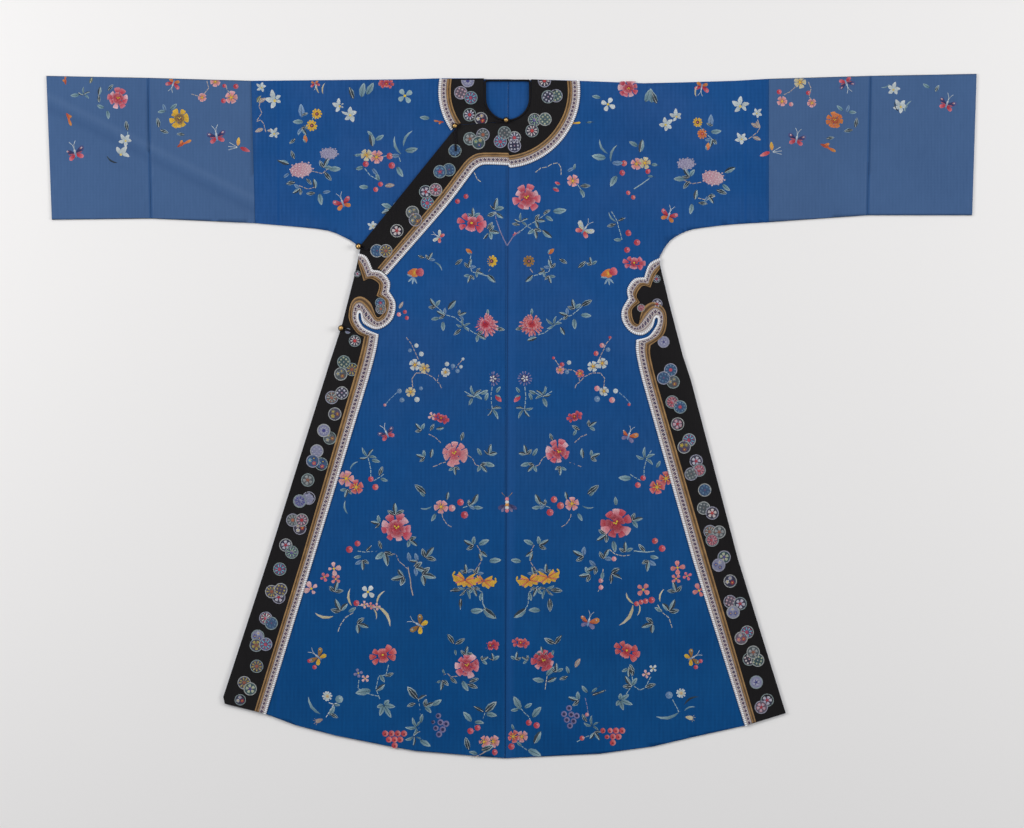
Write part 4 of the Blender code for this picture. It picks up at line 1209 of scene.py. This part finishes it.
# Leaves: for each motif and its tone, their (column, row, heading, size in pixels)
FOLIAGE = [
    ("fan pale", [(474, 217, 92, 9), (489, 232, -10, 9.5), (495, 210, 75, 11), (477, 335, -30, 9),
     (436, 307, 120, 10), (422, 430, 130, 9), (347, 489, -110, 9), (380, 523, 165, 10), (409, 540, -40, 10),
     (384, 552, -80, 13), (442, 680, -100, 10), (425, 707, 20, 10), (324.2, 168.1, 60, 11)]),
    ("leaf dark", [(487, 229, 50, 8), (487, 216, 22, 9), (425, 258, 160, 8), (455, 265, 38, 9),
     (461, 329, -140, 9), (430, 431, 60, 8), (461, 441, 75, 9), (379, 476, 70, 10), (382, 549, 110, 9),
     (385, 676, 20, 9), (330, 713, -30, 9), (450, 677, -40, 9), (469, 682, 20, 10), (467, 684, -20, 11),
     (418, 699, 130, 15), (416, 703, 200, 9), (484, 712, 150, 13), (485, 712, 42, 14), (469, 750, 105, 13),
     (481, 750, 20, 12), (301.3, 115.6, 20, 7), (295.6, 138.5, 220, 8), (353.8, 99.3, 110, 14),
     (294.6, 159.5, 110, 9), (295.6, 182.4, 190, 10), (324.2, 171.9, -50, 11), (306.1, 178.6, -50, 8),
     (315.6, 192.9, 185, 9), (99, 95, -90, 8), (108, 91, 50, 8), (128, 131, 100, 10), (159, 128, 100, 10),
     (160, 130, -20, 9), (185, 135, 175, 8)]),
    ("leaf split", [(488, 233, -128, 9), (496, 213, -35, 8), (448, 310, 50, 12), (436, 429, 10, 8),
     (376, 691, 38, 11), (418, 700, 30, 11), (372.9, 147.1, 100, 14), (289.8, 164.3, 160, 13),
     (315.6, 189.1, 100, 10), (390.1, 210.1, 200, 8), (99, 96, 80, 9)]),
    ("star split", [(521, 222, 60, 9)]), ("fan split", [(535, 221, -5, 10), (594, 732, -60, 10)]),
    ("leaf pale", [(552, 211.5, 6, 14), (545, 216, -32, 9), (574, 170, 80, 6), (580, 189, -62, 9),
     (622, 240, 178, 8), (574, 318, -85, 11), (580, 315, -5, 11), (573, 436, 60, 7), (632, 478, 178, 13),
     (656, 468, 60, 8), (613, 540, -80, 12), (616, 506, 95, 9), (603, 571, -100, 9), (545, 681, 170, 12),
     (546, 676, 50, 12), (569, 674, 110, 8), (590, 694, 40, 15), (588, 693, 130, 9), (521, 710, 118, 15),
     (524, 708, 30, 9), (519, 709, 190, 8), (532, 718, 50, 14), (527, 749, -25, 15), (514, 730, 110, 6),
     (522, 746, 140, 7), (710, 132, 5, 11), (645, 103, 70, 14), (652, 104, 95, 15), (638, 147, 150, 10),
     (606, 158, 172, 13), (650, 165, -5, 10), (646, 176, -10, 11), (617, 175, -120, 12),
     (722, 184, -40, 10), (686, 179, 180, 12), (692, 203, -100, 11), (601, 98, 170, 9), (585, 123, 5, 10),
     (843, 111, 140, 8), (848, 112, -5, 8), (930, 88, 150, 8)]),
    ("leaf dark", [(543, 214, 28, 8), (520, 225, 172, 8), (580, 186, 0, 10), (618, 221, 22, 9),
     (616, 224, 195, 9), (578, 268, 40, 10), (559, 259, -30, 9), (581, 306, 28, 12), (580, 430, 150, 9),
     (553, 441, 110, 8), (633, 676, 105, 12), (645, 688, 20, 11), (568, 676, 200, 9), (592, 695, 20, 14),
     (587, 722, 120, 9), (713, 126, 160, 7), (657, 104, 115, 14), (716, 190, -20, 11), (690, 181, -130, 10),
     (698, 203, -5, 9), (855, 128, 80, 10), (853, 130, 190, 9), (826, 139, 10, 8), (935, 92, 60, 7)]),
    ("fan pale", [(534, 229, -80, 10), (592, 265, 100, 8), (575, 309, 100, 10), (589, 427, 30, 9),
     (632, 521, 10, 11), (626, 552, 90, 10), (590, 574, 185, 11), (632, 686, 120, 12), (628, 668, -90, 9),
     (557, 672, 90, 9), (579, 700, 160, 11), (690, 177, 120, 11)]),
    ("leaf split", [(542, 230, -38, 12), (537, 337, 200, 10), (560, 327, -60, 9), (547, 682, 25, 10),
     (534, 744, 62, 14), (640, 153, 80, 13), (724, 173, 25, 12), (695, 200, 80, 10)]),
    ("leaf blue", [(567, 172, 30, 8), (711, 128, 90, 13), (612, 163, 0, 10), (846, 113, 70, 8)]),
    ("blade pale", [(617, 222, 130, 13), (679, 712, 190, 24), (684, 711, 20, 12), (611, 162, 70, 18),
     (608, 154, 120, 17), (905, 112, 60, 13), (890, 84, 200, 10)]),
    ("fan blue", [(429, 260, 60, 8), (445, 315, 150, 9), (459, 316, 20, 8), (418, 561, 170, 10),
     (415, 568, -20, 11), (301.3, 128, -60, 9), (300.3, 188.1, -150, 9)]),
    ("blade pale", [(434, 262, -48, 12), (350, 470, 45, 12), (348, 514, 100, 14), (321, 714, 125, 22),
     (401.6, 154.7, 110, 20), (403.5, 147.1, 60, 19)]),
    ("fan blue twice", [(469, 268, 70, 9), (469, 506, 30, 8), (362, 560, -88, 10), (467, 573, 95, 9),
     (477, 574, 70, 8)]),
    ("fan pale twice", [(476, 272, -20, 7), (470, 275, -110, 8), (425, 457, 160, 9), (480, 465, -50, 9),
     (454, 467, -85, 8), (474, 545, 150, 11), (473, 588, -70, 9), (482, 661, 30, 7), (494, 660, 100, 8)]),
    ("leaf split twice", [(487, 275, -42, 10), (431, 458, 80, 9), (447, 500, 80, 8), (472, 505, 62, 12),
     (479, 551, -35, 9), (482, 561, 110, 8), (483, 608, -38, 15)]),
    ("leaf pale twice", [(488, 316, 95, 7), (473, 397, -115, 10), (480, 394, 25, 8), (485, 401, 70, 8),
     (496, 393, 55, 7), (484, 463, -15, 10), (482, 456, 120, 9), (425, 497, 130, 8), (436, 513, -120, 9),
     (473, 507, -5, 9), (362, 556, 190, 8), (478, 545, 25, 11), (489, 561, 5, 11), (482, 592, -100, 9),
     (470, 611, 5, 12), (348, 612, 30, 9), (455, 649, -80, 6)]),
    ("leaf dark twice", [(496, 328, -12, 8), (426, 494, 140, 14), (366, 551, 45, 9), (461, 590, 185, 12),
     (461, 598, -92, 13), (454, 644, 125, 12), (455, 644, 30, 11)]),
    ("star pale", [(463, 327, 60, 9), (417, 727, 150, 11), (554, 325, 110, 10), (645, 459, 60, 12),
     (592, 726, 60, 11)]),
    ("leaf pale", [(443, 321, -88, 10), (440, 318, 190, 9), (371, 460, -12, 9), (380, 478, -20, 8),
     (372, 690, 190, 16), (380, 674, -60, 9), (329, 716, 60, 11), (333, 704, -10, 7), (445, 675, 110, 8),
     (462, 680, -60, 12), (432, 705, 30, 10), (421, 723, 80, 9), (420, 740, -30, 11), (486, 714, -8, 10),
     (472, 722, 130, 13), (474, 722, -5, 9), (478, 754, 165, 9), (304.2, 122.2, 180, 11),
     (361.5, 98.4, 80, 15), (366.2, 95.5, 60, 14), (374.8, 140.4, 30, 10), (372.9, 137.5, 130, 8),
     (404.4, 150.9, 10, 13), (361.5, 154.7, 185, 9), (364.3, 167.1, 190, 11), (396.8, 166.2, -60, 12),
     (328, 169, 0, 13), (319.4, 192.9, -80, 12), (392, 208.2, 160, 10), (379.6, 181.5, 110, 9),
     (369.1, 187.2, 178, 10), (430.2, 118.4, 175, 10), (80, 95, 185, 9), (105, 108, 160, 9),
     (107, 110, -80, 9), (170, 110, 40, 9), (166, 111, 190, 8)]),
    ("fan blue", [(568, 315, 160, 9), (584, 556, 150, 12), (604, 559, 60, 11), (596, 566, -160, 11),
     (712, 139, -110, 9), (708, 196, -60, 9)]),
    ("leaf tan", [(399, 309, 60, 8), (258.3, 103.1, 30, 9), (264, 128.9, 200, 9), (266.9, 130.8, 0, 7),
     (384.4, 186.2, 5, 10)]), ("blade pale twice", [(477, 394, 135, 11), (432, 506, 190, 12)]),
    ("star split twice", [(474, 396, 75, 10), (492, 409, -90, 11)]),
    ("fan split twice", [(489, 455, 75, 10), (341, 611, 110, 13), (357, 624, -20, 12)]),
    ("star split", [(368, 457, 90, 11), (414, 736, -60, 11), (84, 95, 60, 8)]),
    ("fan dark", [(396, 515, 90, 12), (426, 558, 50, 13), (606, 534, -150, 11), (611, 574, -30, 14)]),
    ("fan split", [(404, 576, 190, 12), (422, 575, -15, 13)]),
    ("leaf blue", [(410, 562, 100, 9), (302.2, 118.4, 95, 14), (400.6, 155.7, 178, 10),
     (372, 168.1, -50, 9), (289.8, 172.9, 220, 9), (322.3, 192.9, 10, 8), (393, 210.1, 60, 10),
     (166, 112, 110, 8)]), ("star dark twice", [(466, 589, -100, 11)]),
    ("blade cream", [(334, 616, 168, 21), (352, 606, 95, 18), (377, 604, 58, 16), (377, 606, -58, 25),
     (373, 608, -75, 12), (319.4, 93.6, 100, 12), (323.3, 94.5, 80, 12), (634, 604, 118, 18),
     (633, 604, -124, 26), (660, 602, 72, 14), (639, 604, -100, 12), (696, 97, 80, 12)]),
    ("fan dark twice", [(335, 592, 70, 11), (466, 655, 75, 9)]),
    ("ivy pale", [(384, 705, -60, 14), (620, 700, -20, 13)]),
    ("blade dark", [(684, 705, 30, 17), (899, 112, 110, 12)]),
    ("leaf tan", [(575, 668, 60, 11), (756, 121, -60, 8), (759, 128, 150, 9), (752, 137, -20, 9)]),
    ("leaf olive", [(261.2, 95.5, -120, 8), (90, 84, 70, 7)]), ("blade dark", [(118, 163, 145, 14)]),
]
# Stems and twigs: for each one's colour, the columns and rows of its points
STEMS = [
    ("lilac", [(507, 246), (501, 233), (496, 220), (495, 211)]),
    ("lilac", [(507, 246), (512, 238), (520, 231)]),
    ("pale", [(517, 234), (527, 226), (536, 221), (550, 211)]),
    ("pale", [(527, 226), (535, 231), (541, 231)]),
    ("cream", [(535, 173), (541, 168), (547, 167), (552, 164), (558, 163), (561, 168), (561, 175)]),
    ("cream", [(474, 172), (477, 179), (481, 182)]), ("pale", [(577, 184), (581, 190), (583, 198)]),
    ("pale", [(611, 211), (617, 221), (620, 232), (622, 240)]),
    ("pale twice", [(471, 255), (469, 264), (472, 272), (487, 276)]),
    ("tan twice", [(491, 268), (487, 273)]),
    ("pale twice", [(481, 335), (474, 333), (466, 327), (456, 318), (446, 315), (436, 306)]),
    ("tan twice", [(442, 389), (440, 384), (437, 382), (433, 377), (425, 373), (416, 373), (412, 379),
     (413, 387)]), ("tan twice", [(419, 360), (415, 352), (412, 345), (406, 337)]),
    ("tan twice", [(437, 382), (439, 374), (444, 370), (455, 369), (462, 360)]),
    ("blue twice", [(398, 392), (391, 398), (386, 404)]),
    ("pale twice", [(492, 386), (491, 396), (492, 409)]),
    ("pale twice", [(464, 391), (474, 397), (484, 391)]),
    ("tan twice", [(428, 434), (435, 437), (441, 443)]),
    ("tan twice", [(432, 467), (438, 465), (442, 463), (446, 462)]),
    ("tan twice", [(467, 455), (472, 458), (476, 465), (479, 466)]),
    ("pale twice", [(363, 450), (368, 457), (371, 469), (371, 478)]),
    ("pale twice", [(373, 481), (380, 477), (384, 474)]),
    ("tan twice", [(442, 513), (443, 518), (447, 524), (452, 527)]),
    ("pale twice", [(462, 508), (468, 506), (474, 506)]),
    ("cream", [(609, 549), (615, 554), (622, 556), (630, 555)]),
    ("tan", [(386, 553), (396, 554), (399, 561), (408, 569)]),
    ("tan", [(408, 566), (410, 577), (411, 586), (413, 595)]),
    ("cream", [(603, 568), (602, 578), (600, 588), (597, 593)]),
    ("pale twice", [(357, 551), (366, 552), (378, 551)]),
    ("tan twice", [(475, 571), (481, 562), (481, 552), (477, 545)]),
    ("pale twice", [(472, 586), (482, 592), (483, 604), (486, 610)]),
    ("cream", [(357, 605), (366, 606), (379, 608)]),
    ("cream", [(354, 612), (345, 618), (340, 626), (338, 632)]),
    ("cream", [(657, 604), (662, 612), (669, 618), (672, 628)]),
    ("pale", [(389, 664), (386, 675), (379, 676), (376, 689), (380, 699)]),
    ("pale", [(359, 679), (358, 688), (366, 693), (378, 696)]),
    ("pale", [(628, 666), (632, 676), (633, 684), (626, 694)]),
    ("pale", [(651, 676), (645, 688), (640, 690), (634, 686)]),
    ("white", [(328, 702), (334, 704), (337, 703)]), ("white", [(334, 704), (330, 711), (326, 717)]),
    ("pale", [(672, 699), (676, 706), (679, 712)]),
    ("tan", [(458, 676), (451, 677), (447, 673), (443, 675)]),
    ("cream", [(545, 690), (546, 683), (547, 676)]),
    ("pale", [(418, 697), (420, 707), (421, 720), (418, 730), (423, 744)]),
    ("lilac", [(585, 697), (587, 705), (588, 714)]), ("pale", [(576, 742), (585, 737), (598, 733)]),
    ("pale", [(485, 712), (483, 719), (475, 723), (474, 733)]),
    ("tan", [(474, 757), (479, 755), (486, 751)]),
    ("pale", [(515, 702), (523, 711), (529, 717), (531, 722)]),
    ("pale", [(520, 745), (527, 750), (533, 752), (541, 755)]),
    ("tan", [(256, 122), (261, 120), (264, 124), (266, 132)]),
    ("tan", [(261, 97), (259, 107), (262, 113), (257, 121)]),
    ("tan", [(757, 119), (760, 127), (757, 133), (748, 139)]),
    ("pale", [(297.5, 135.6), (303.2, 128.9), (308.9, 124.2), (314.7, 116.5)]),
    ("pale", [(715, 145), (711, 138), (704, 132), (699, 125)]), ("pale", [(357.6, 154.7), (365.3, 152.8)]),
    ("pale", [(382.5, 156.6), (392, 154.7), (398.7, 156.6), (400.6, 162.4)]),
    ("pale", [(364.3, 168.1), (370.1, 175.7), (377.7, 179.5)]),
    ("pale", [(650, 178), (642, 184), (634, 189)]), ("tan", [(310.8, 170.9), (322.3, 173.8), (329, 168.1)]),
    ("tan", [(702, 182), (692, 184), (684, 180)]), ("tan", [(298.4, 185.3), (308, 189.1), (315.6, 187.2)]),
    ("cream", [(716, 196), (706, 200), (698, 198)]),
    ("tan", [(191, 94), (198, 96), (204, 94), (209, 88), (207, 81)]),
    ("tan", [(226, 84), (227, 90), (231, 94)]), ("tan", [(783, 95), (790, 92), (795, 87), (799, 84)]),
    ("tan", [(815, 104), (809, 97), (811, 89), (808, 82)]), ("pale", [(128, 131), (128, 137)]),
    ("pale", [(905, 112), (903, 104)]),
]

# Where one panel ends and the next begins, in millimetres
SHOULDER_SEAM, JOIN_SEAM, CENTRE_SEAM = 522, 728, -12
OVERLAP_TOP, OVERLAP_CORNER_X, OVERLAP_CORNER_Y, OVERLAP_SLOPE = 587, -121, 571, 0.808


def panel_of(x, y):
    """The panel on which a place in millimetres lies."""
    side = "right" if x < 0 else "left"
    if abs(x) > SHOULDER_SEAM:
        return f"sleeve_{'end' if abs(x) > JOIN_SEAM else 'mid'}_{side}"
    if x > CENTRE_SEAM:
        return "left_front"
    edge = OVERLAP_CORNER_X + min(0, y - OVERLAP_CORNER_Y) * OVERLAP_SLOPE
    return "inner_front" if y > OVERLAP_TOP or x < edge else "overlap"


# Where the cloth is folded over, a motif goes round to the back: each panel's height, and its fold,
# as (x, y) at both ends
FOLDS = {
    "sleeve_end_right": (back_level, -938, 686, -733, 682),
    "sleeve_mid_right": (back_level, -733, 682, -525, 676),
    "inner_front": (back_level, -525, 676, -145, 679),
    "overlap": (outer_level, -525, 676, -145, 679),
    "left_front": (outer_level, 137, 675, 519, 680),
    "sleeve_mid_left": (back_level, 519, 680, 724, 686),
    "sleeve_end_left": (back_level, 724, 686, 938, 690),
}
FOLD_MARGIN = 1.2
panels = {name: Panel(name, fold[0]) for name, fold in FOLDS.items()}

# The centre seam's column at one row of the photograph, and how much it leans below that
SEAM_COLUMN, SEAM_ROW, SEAM_LEAN = 510.3, 255, -0.0145


def needle_at(column, row, turn, mirrored, unit=1.0):
    """A needle at a pixel, on whatever panel lies there, or at that place's mirror image."""
    if mirrored:
        column = 2 * (SEAM_COLUMN + SEAM_LEAN * (row - SEAM_ROW)) - column
    x, y = (value / MM for value in at(column, row))
    return Needle(panels[panel_of(x, y)], column, row, turn, mirrored, unit=unit)


for words, points in STEMS:
    tone, *twice = words.split()
    for mirrored in (False, True)[:1 + len(twice)]:
        needle_at(*points[0], 0, mirrored).stem(points, DYES[tone][0])

for table, upright in ((FOLIAGE, 90), (BLOSSOMS, 0)):
    for words, places in table:
        motif, dye, *twice = words.split()
        for column, row, turn, size in places:
            for mirrored in (False, True)[:1 + len(twice)]:
                shift = random.uniform(-0.9, 0.9) if mirrored else 0
                needle = needle_at(column + shift, row + shift * 0.6, turn - upright + 4 * shift, mirrored,
                                   size * PIXEL_MM)
                MOTIFS[motif](needle, dye)

# Silk floss: untwisted, so it shines along its stitches, which are fine ridges side by side
STITCH_PITCH = 0.0006
FLOSS_SHADOW = (0.02, 0.02, 0.03, 1)
silk_floss, floss_surface = new_finish("silk_floss")
floss_tree = silk_floss.node_tree
floss_dye = floss_tree.nodes.new("ShaderNodeAttribute")
floss_dye.attribute_name = "dye"
ridges = wave(floss_tree, axes(floss_tree, uv=True)["Y"], STITCH_PITCH)
shadow = weighted(floss_tree, 0.10, (ridges, 0.10), (noise(floss_tree, 420), 0.3))
fill(floss_surface, Base_Color=blend_colours(floss_tree, shadow, floss_dye.outputs["Color"], FLOSS_SHADOW),
     Roughness=0.48, Specular_IOR_Level=0.3, Sheen_Weight=0.05)
add_relief(floss_surface, ridges, 0.5, 0.0002)

for name, (_, low_x, low_y, high_x, high_y) in FOLDS.items():
    slot = "pale_blue_gauze" if name.startswith("sleeve") else "blue_gauze"
    panels[name].finish(f"embroidery_{name}", slot, (low_x * MM, (low_y - FOLD_MARGIN) * MM, 0),
                        (low_y - high_y, high_x - low_x, 0))

# Roundels on the satin: small round flower heads, checks and rings in many silks, each outlined in
# grey-white. They are worked singly, in pairs and in threes that lap over one another.
SATIN_WALL = 1.5
ROUNDEL_RADIUS = 13.6
FOLD_LINE = 677.5
# On each border, (column, row), and the share of full size where one is smaller
ROUNDELS = {
    "collar_right": [(467.8, 81), (460.8, 93), (471, 98), (469.7, 115), (481, 119)],
    "collar_lapel": [(455, 151), (470, 139), (478.5, 143), (483, 135), (500.4, 141.6), (504.5, 133),
        (514.4, 138), (514.4, 146), (532, 131), (534.5, 120), (545, 119.5), (548, 97), (556, 96),
        (544.4, 81), (440, 172), (449, 170), (425.7, 192), (435.7, 190), (427.4, 203), (412.5, 212.6),
        (415.5, 220), (397, 231), (377, 251), (386, 251)],
    "slit_right": [(357.5, 274, 0.5), (380.5, 303, 0.8), (381, 309, 0.8), (348, 331, 0.45), (355, 341, 0.9),
        (344, 362), (352, 369.5), (341, 374), (342, 393), (332, 397.5), (335, 414), (324, 430.5),
        (330, 438), (317, 451), (313, 461), (321.5, 464), (308, 480), (300, 501), (309, 498), (293, 520),
        (302, 520), (300, 528), (286, 545), (292, 552), (280, 569), (272, 591.5), (281, 589.5), (279, 597),
        (266, 618), (271.5, 623), (258, 636), (256.5, 645), (266, 644), (257, 666), (244.5, 682.5),
        (250.5, 688.6), (240.5, 699.5, 0.85)],
    "slit_left": [(656.5, 279, 0.6), (657, 304, 0.8), (641, 308, 0.6), (663.5, 342, 0.9), (670.5, 370),
        (663.5, 378), (673, 382), (672, 402), (680, 407), (677.5, 424), (689, 440), (684, 447), (696, 461),
        (699, 470), (691, 474), (704.5, 490), (703.5, 508), (712, 513), (710, 531.5), (719, 532),
        (712, 540), (724, 557), (718.5, 565), (730, 581), (730, 601.5), (740, 603.5), (733, 612),
        (747, 632), (741, 638), (753, 652), (749, 659), (757.5, 660), (756, 682), (767, 700), (761, 707)],
}
# Silks of a roundel, as (ground, figure, second figure, heart)
ROUNDEL_SILKS = [
    ((0.020, 0.022, 0.060), (0.72, 0.70, 0.68), (0.46, 0.46, 0.62), (0.50, 0.03, 0.05)),
    ((0.07, 0.09, 0.10), (0.42, 0.44, 0.42), (0.26, 0.28, 0.30), (0.38, 0.12, 0.06)),
    ((0.03, 0.09, 0.20), (0.24, 0.46, 0.60), (0.02, 0.05, 0.18), (0.58, 0.06, 0.10)),
    ((0.05, 0.045, 0.10), (0.62, 0.46, 0.05), (0.30, 0.26, 0.10), (0.34, 0.10, 0.04)),
    ((0.12, 0.09, 0.13), (0.72, 0.26, 0.30), (0.50, 0.46, 0.54), (0.50, 0.02, 0.04)),
    ((0.03, 0.08, 0.09), (0.34, 0.48, 0.38), (0.50, 0.48, 0.32), (0.08, 0.06, 0.30)),
    ((0.26, 0.27, 0.40), (0.05, 0.05, 0.30), (0.50, 0.50, 0.60), (0.04, 0.04, 0.24)),
    ((0.025, 0.02, 0.05), (0.78, 0.74, 0.72), (0.60, 0.50, 0.52), (0.60, 0.04, 0.04)),
]
EDGE_SILKS = ((0.46, 0.48, 0.47), (0.30, 0.38, 0.38), (0.40, 0.40, 0.50))


def roundel(needle):
    """One roundel: its ground, its outline of short stitches, and one of five figures."""
    ground, figure, second, heart = random.choice(ROUNDEL_SILKS)
    needle.dot(0, 0, ROUNDEL_RADIUS, ground, ground, 0, 16)
    edge = random.choice(EDGE_SILKS)
    needle.ring(20, ROUNDEL_RADIUS - 2.2, 1.9, 4.4, edge, edge, "bar", 0.18, 0, 6)
    kind = random.randrange(5)
    if kind == 0:
        needle.ring(9, 3.4, 7.4, 3.6, figure, second, "round", 0.3, 0, 7)
        needle.dot(0, 0, 3.6, heart, lift=0.45)
    elif kind == 1:
        needle.ring(5, 1.8, 8.6, 7.2, figure, second, "heart", 0.3, 0, 9)
        needle.ring(5, 1.0, 4.2, 1.4, heart, heart, "bar", 0.6, 36, 6)
        needle.dot(0, 0, 1.9, heart, lift=0.7)
    elif kind == 2:
        for u, v in ((-5, -5), (5, -5), (0, 0), (-5, 5), (5, 5), (0, -9), (0, 9), (-9, 0), (9, 0)):
            outer = heart if u == v == 0 else figure
            needle.patch(u - 2.1, v, 0, 4.2, 4.2, outer, second, "disc", 0.3, 6)
    elif kind == 3:
        needle.ring(8, 4.0, 6.6, 2.0, figure, figure, "bar", 0.3, 0, 6)
        needle.ring(8, 7.0, 4.0, 3.0, second, heart, "disc", 0.4, 22, 6)
        needle.dot(0, 0, 4.2, second, heart, 0.4)
    else:
        for u, v, dye in ((-4.6, 3.4, figure), (4.4, 4.0, second), (0.4, -5.0, heart)):
            for i in range(5):
                aside, up = around(2.7, 72 * i)
                needle.dot(u + aside, v + up, 1.9, dye, mixed(dye, ground, 0.4), 0.3, 6)
            needle.dot(u, v, 1.2, DYES["yellow"][0], lift=0.6)


for name, places in ROUNDELS.items():
    panel = Panel(name, back_level if name == "collar_right" else outer_level, SATIN_WALL, 0.25)
    for number, (column, row, *share) in enumerate(places):
        roundel(Needle(panel, column, row, random.uniform(0, 90), False, 0.4 * (number % 3), *share))
    panel.finish(f"roundels_{name}", "black_satin", (0, FOLD_LINE * MM, 0), (0, 1, 0))

# Ball buttons and loops. Each button is a small hollow gilt ball, chased with ribs that meet in a
# boss, and it is held by a loop of dark silk cord whose two tails are sewn down side by side.
# Each, as (name, x, y, height below the ball, height below the loop's end, loop length, heading)
BUTTONS = [
    ("neck", -11, 596, 5.9, 4.8, 21, 190),
    ("shoulder", -114, 584, 5.7, 5.7, 50, -88),
    ("underarm", -308, 342, 5.7, 5.7, 21, -20),
    ("side", -343, 177, 5.7, 5.7, 24, -16),
]
BALL_RADIUS = 5.0
SEAT_GAP = 0.3
LOOP_RADIUS, LOOP_CORD_RADIUS, STRAND_RADIUS = 5.4, 1.2, 0.66
STRAND_OFFSET, TWIST_LENGTH, LOOP_STEPS = 0.54, 4.2, 4
GILT_BRIGHT, GILT_WORN = (0.78, 0.52, 0.20, 1), (0.34, 0.18, 0.05, 1)

gilt, gilt_surface = new_finish("gilt")
wear = noise(gilt.node_tree, 500)
fill(gilt_surface, Base_Color=blend_colours(gilt.node_tree, wear, GILT_BRIGHT, GILT_WORN),
     Roughness=weighted(gilt.node_tree, 0.12, (wear, 0.4)), Metallic=1)
cord_silk, _ = cloth_finish(
    "cord_silk", (0.020, 0.017, 0.020, 1), (0.006, 0.005, 0.007, 1), 0.0006, 0.003, 0.5, 0.03, 0.4)


def ball_button(name, x, y, seat):
    """A gilt ball, chased with twelve ribs, with a boss on top."""
    ball = bmesh.new()
    bmesh.ops.create_uvsphere(ball, u_segments=48, v_segments=24, radius=BALL_RADIUS)
    for vert in ball.verts:
        share = vert.co.z / BALL_RADIUS
        rib = 0.035 * (1 - share * share) * (math.cos(12 * math.atan2(vert.co.y, vert.co.x)) - 1)
        band = -0.05 * math.exp(-(share / 0.12) ** 2)
        vert.co *= 1 + rib + band
    boss = bmesh.ops.create_uvsphere(ball, u_segments=12, v_segments=8, radius=1.2)["verts"]
    bmesh.ops.translate(ball, verts=boss, vec=(0, 0, BALL_RADIUS - 1.25))
    bmesh.ops.translate(ball, verts=ball.verts, vec=(x, y, seat + SEAT_GAP + BALL_RADIUS))
    bmesh.ops.scale(ball, verts=ball.verts, vec=(MM, MM, MM))
    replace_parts(finish_piece(ball, f"gilt_ball_{name}", gilt), f"button_{name}")


def cord_loop(name, x, y, seat, foot, length, heading):
    """Two strands twisted round the line of the loop, from one tail round the button to the other."""
    cosine, sine = around(1, heading)
    bend = [around(LOOP_RADIUS, -40 - 280 * i / 20) for i in range(21)]
    tail_steps = max(6, round((length - 2 * LOOP_RADIUS) / 2))
    spare = 2 * LOOP_RADIUS - length
    tail = [(length + spare * i / tail_steps, -LOOP_CORD_RADIUS) for i in range(tail_steps + 1)]
    flat = tail + bend + [(u, -v) for u, v in reversed(tail)]
    strands = bpy.data.curves.new(f"loop_cord_{name}", "CURVE")
    strands.dimensions = "3D"
    strands.bevel_depth = STRAND_RADIUS * MM
    strands.bevel_resolution = 1
    strands.use_fill_caps = True
    for start in (0, math.pi):
        line = []
        travelled = 0
        for (au, av), (bu, bv) in zip(flat, flat[1:]):
            run = math.hypot(bu - au, bv - av)
            for i in range(LOOP_STEPS):
                part = i / LOOP_STEPS
                twist = start + (travelled + run * part) * 2 * math.pi / TWIST_LENGTH
                across, lift = STRAND_OFFSET * math.cos(twist), STRAND_OFFSET * math.sin(twist)
                u = au + (bu - au) * part - across * (bv - av) / max(run, 0.001)
                v = av + (bv - av) * part + across * (bu - au) / max(run, 0.001)
                drop = (seat - foot) * min(max((u - LOOP_RADIUS) / (length - LOOP_RADIUS), 0), 1)
                line.append((x + u * cosine - v * sine, y + u * sine + v * cosine,
                             seat - drop + SEAT_GAP + LOOP_CORD_RADIUS + lift))
            travelled += run
        spline = strands.splines.new("POLY")
        spline.points.add(len(line) - 1)
        for point, spot in zip(spline.points, line):
            point.co = (*(value * MM for value in spot), 1)
    strands.materials.append(cord_silk)
    piece = add_object(f"loop_cord_{name}", strands)
    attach(piece, "root")
    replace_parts(piece, f"loop_{name}")


for name, x, y, seat, foot, length, heading in BUTTONS:
    ball_button(name, x, y, seat)
    cord_loop(name, x, y, seat, foot, length, heading)

# Neck binding: a narrow roll of the same satin, cut on the bias and sewn over the neck's raw edge,
# so that its small wrinkles run aslant.
roll = copied_faces("neck_binding", lambda face: True)
bmesh.ops.subdivide_edges(roll, edges=roll.edges[:], cuts=2, use_grid_fill=True)
for vert in roll.verts:
    x, y = vert.co.x, vert.co.y
    vert.co.z += 0.00025 * math.sin(900 * (x + y)) * math.sin(210 * x - 330 * y)
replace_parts(finish_piece(roll, "satin_neck_binding", black_satin), "neck_binding")
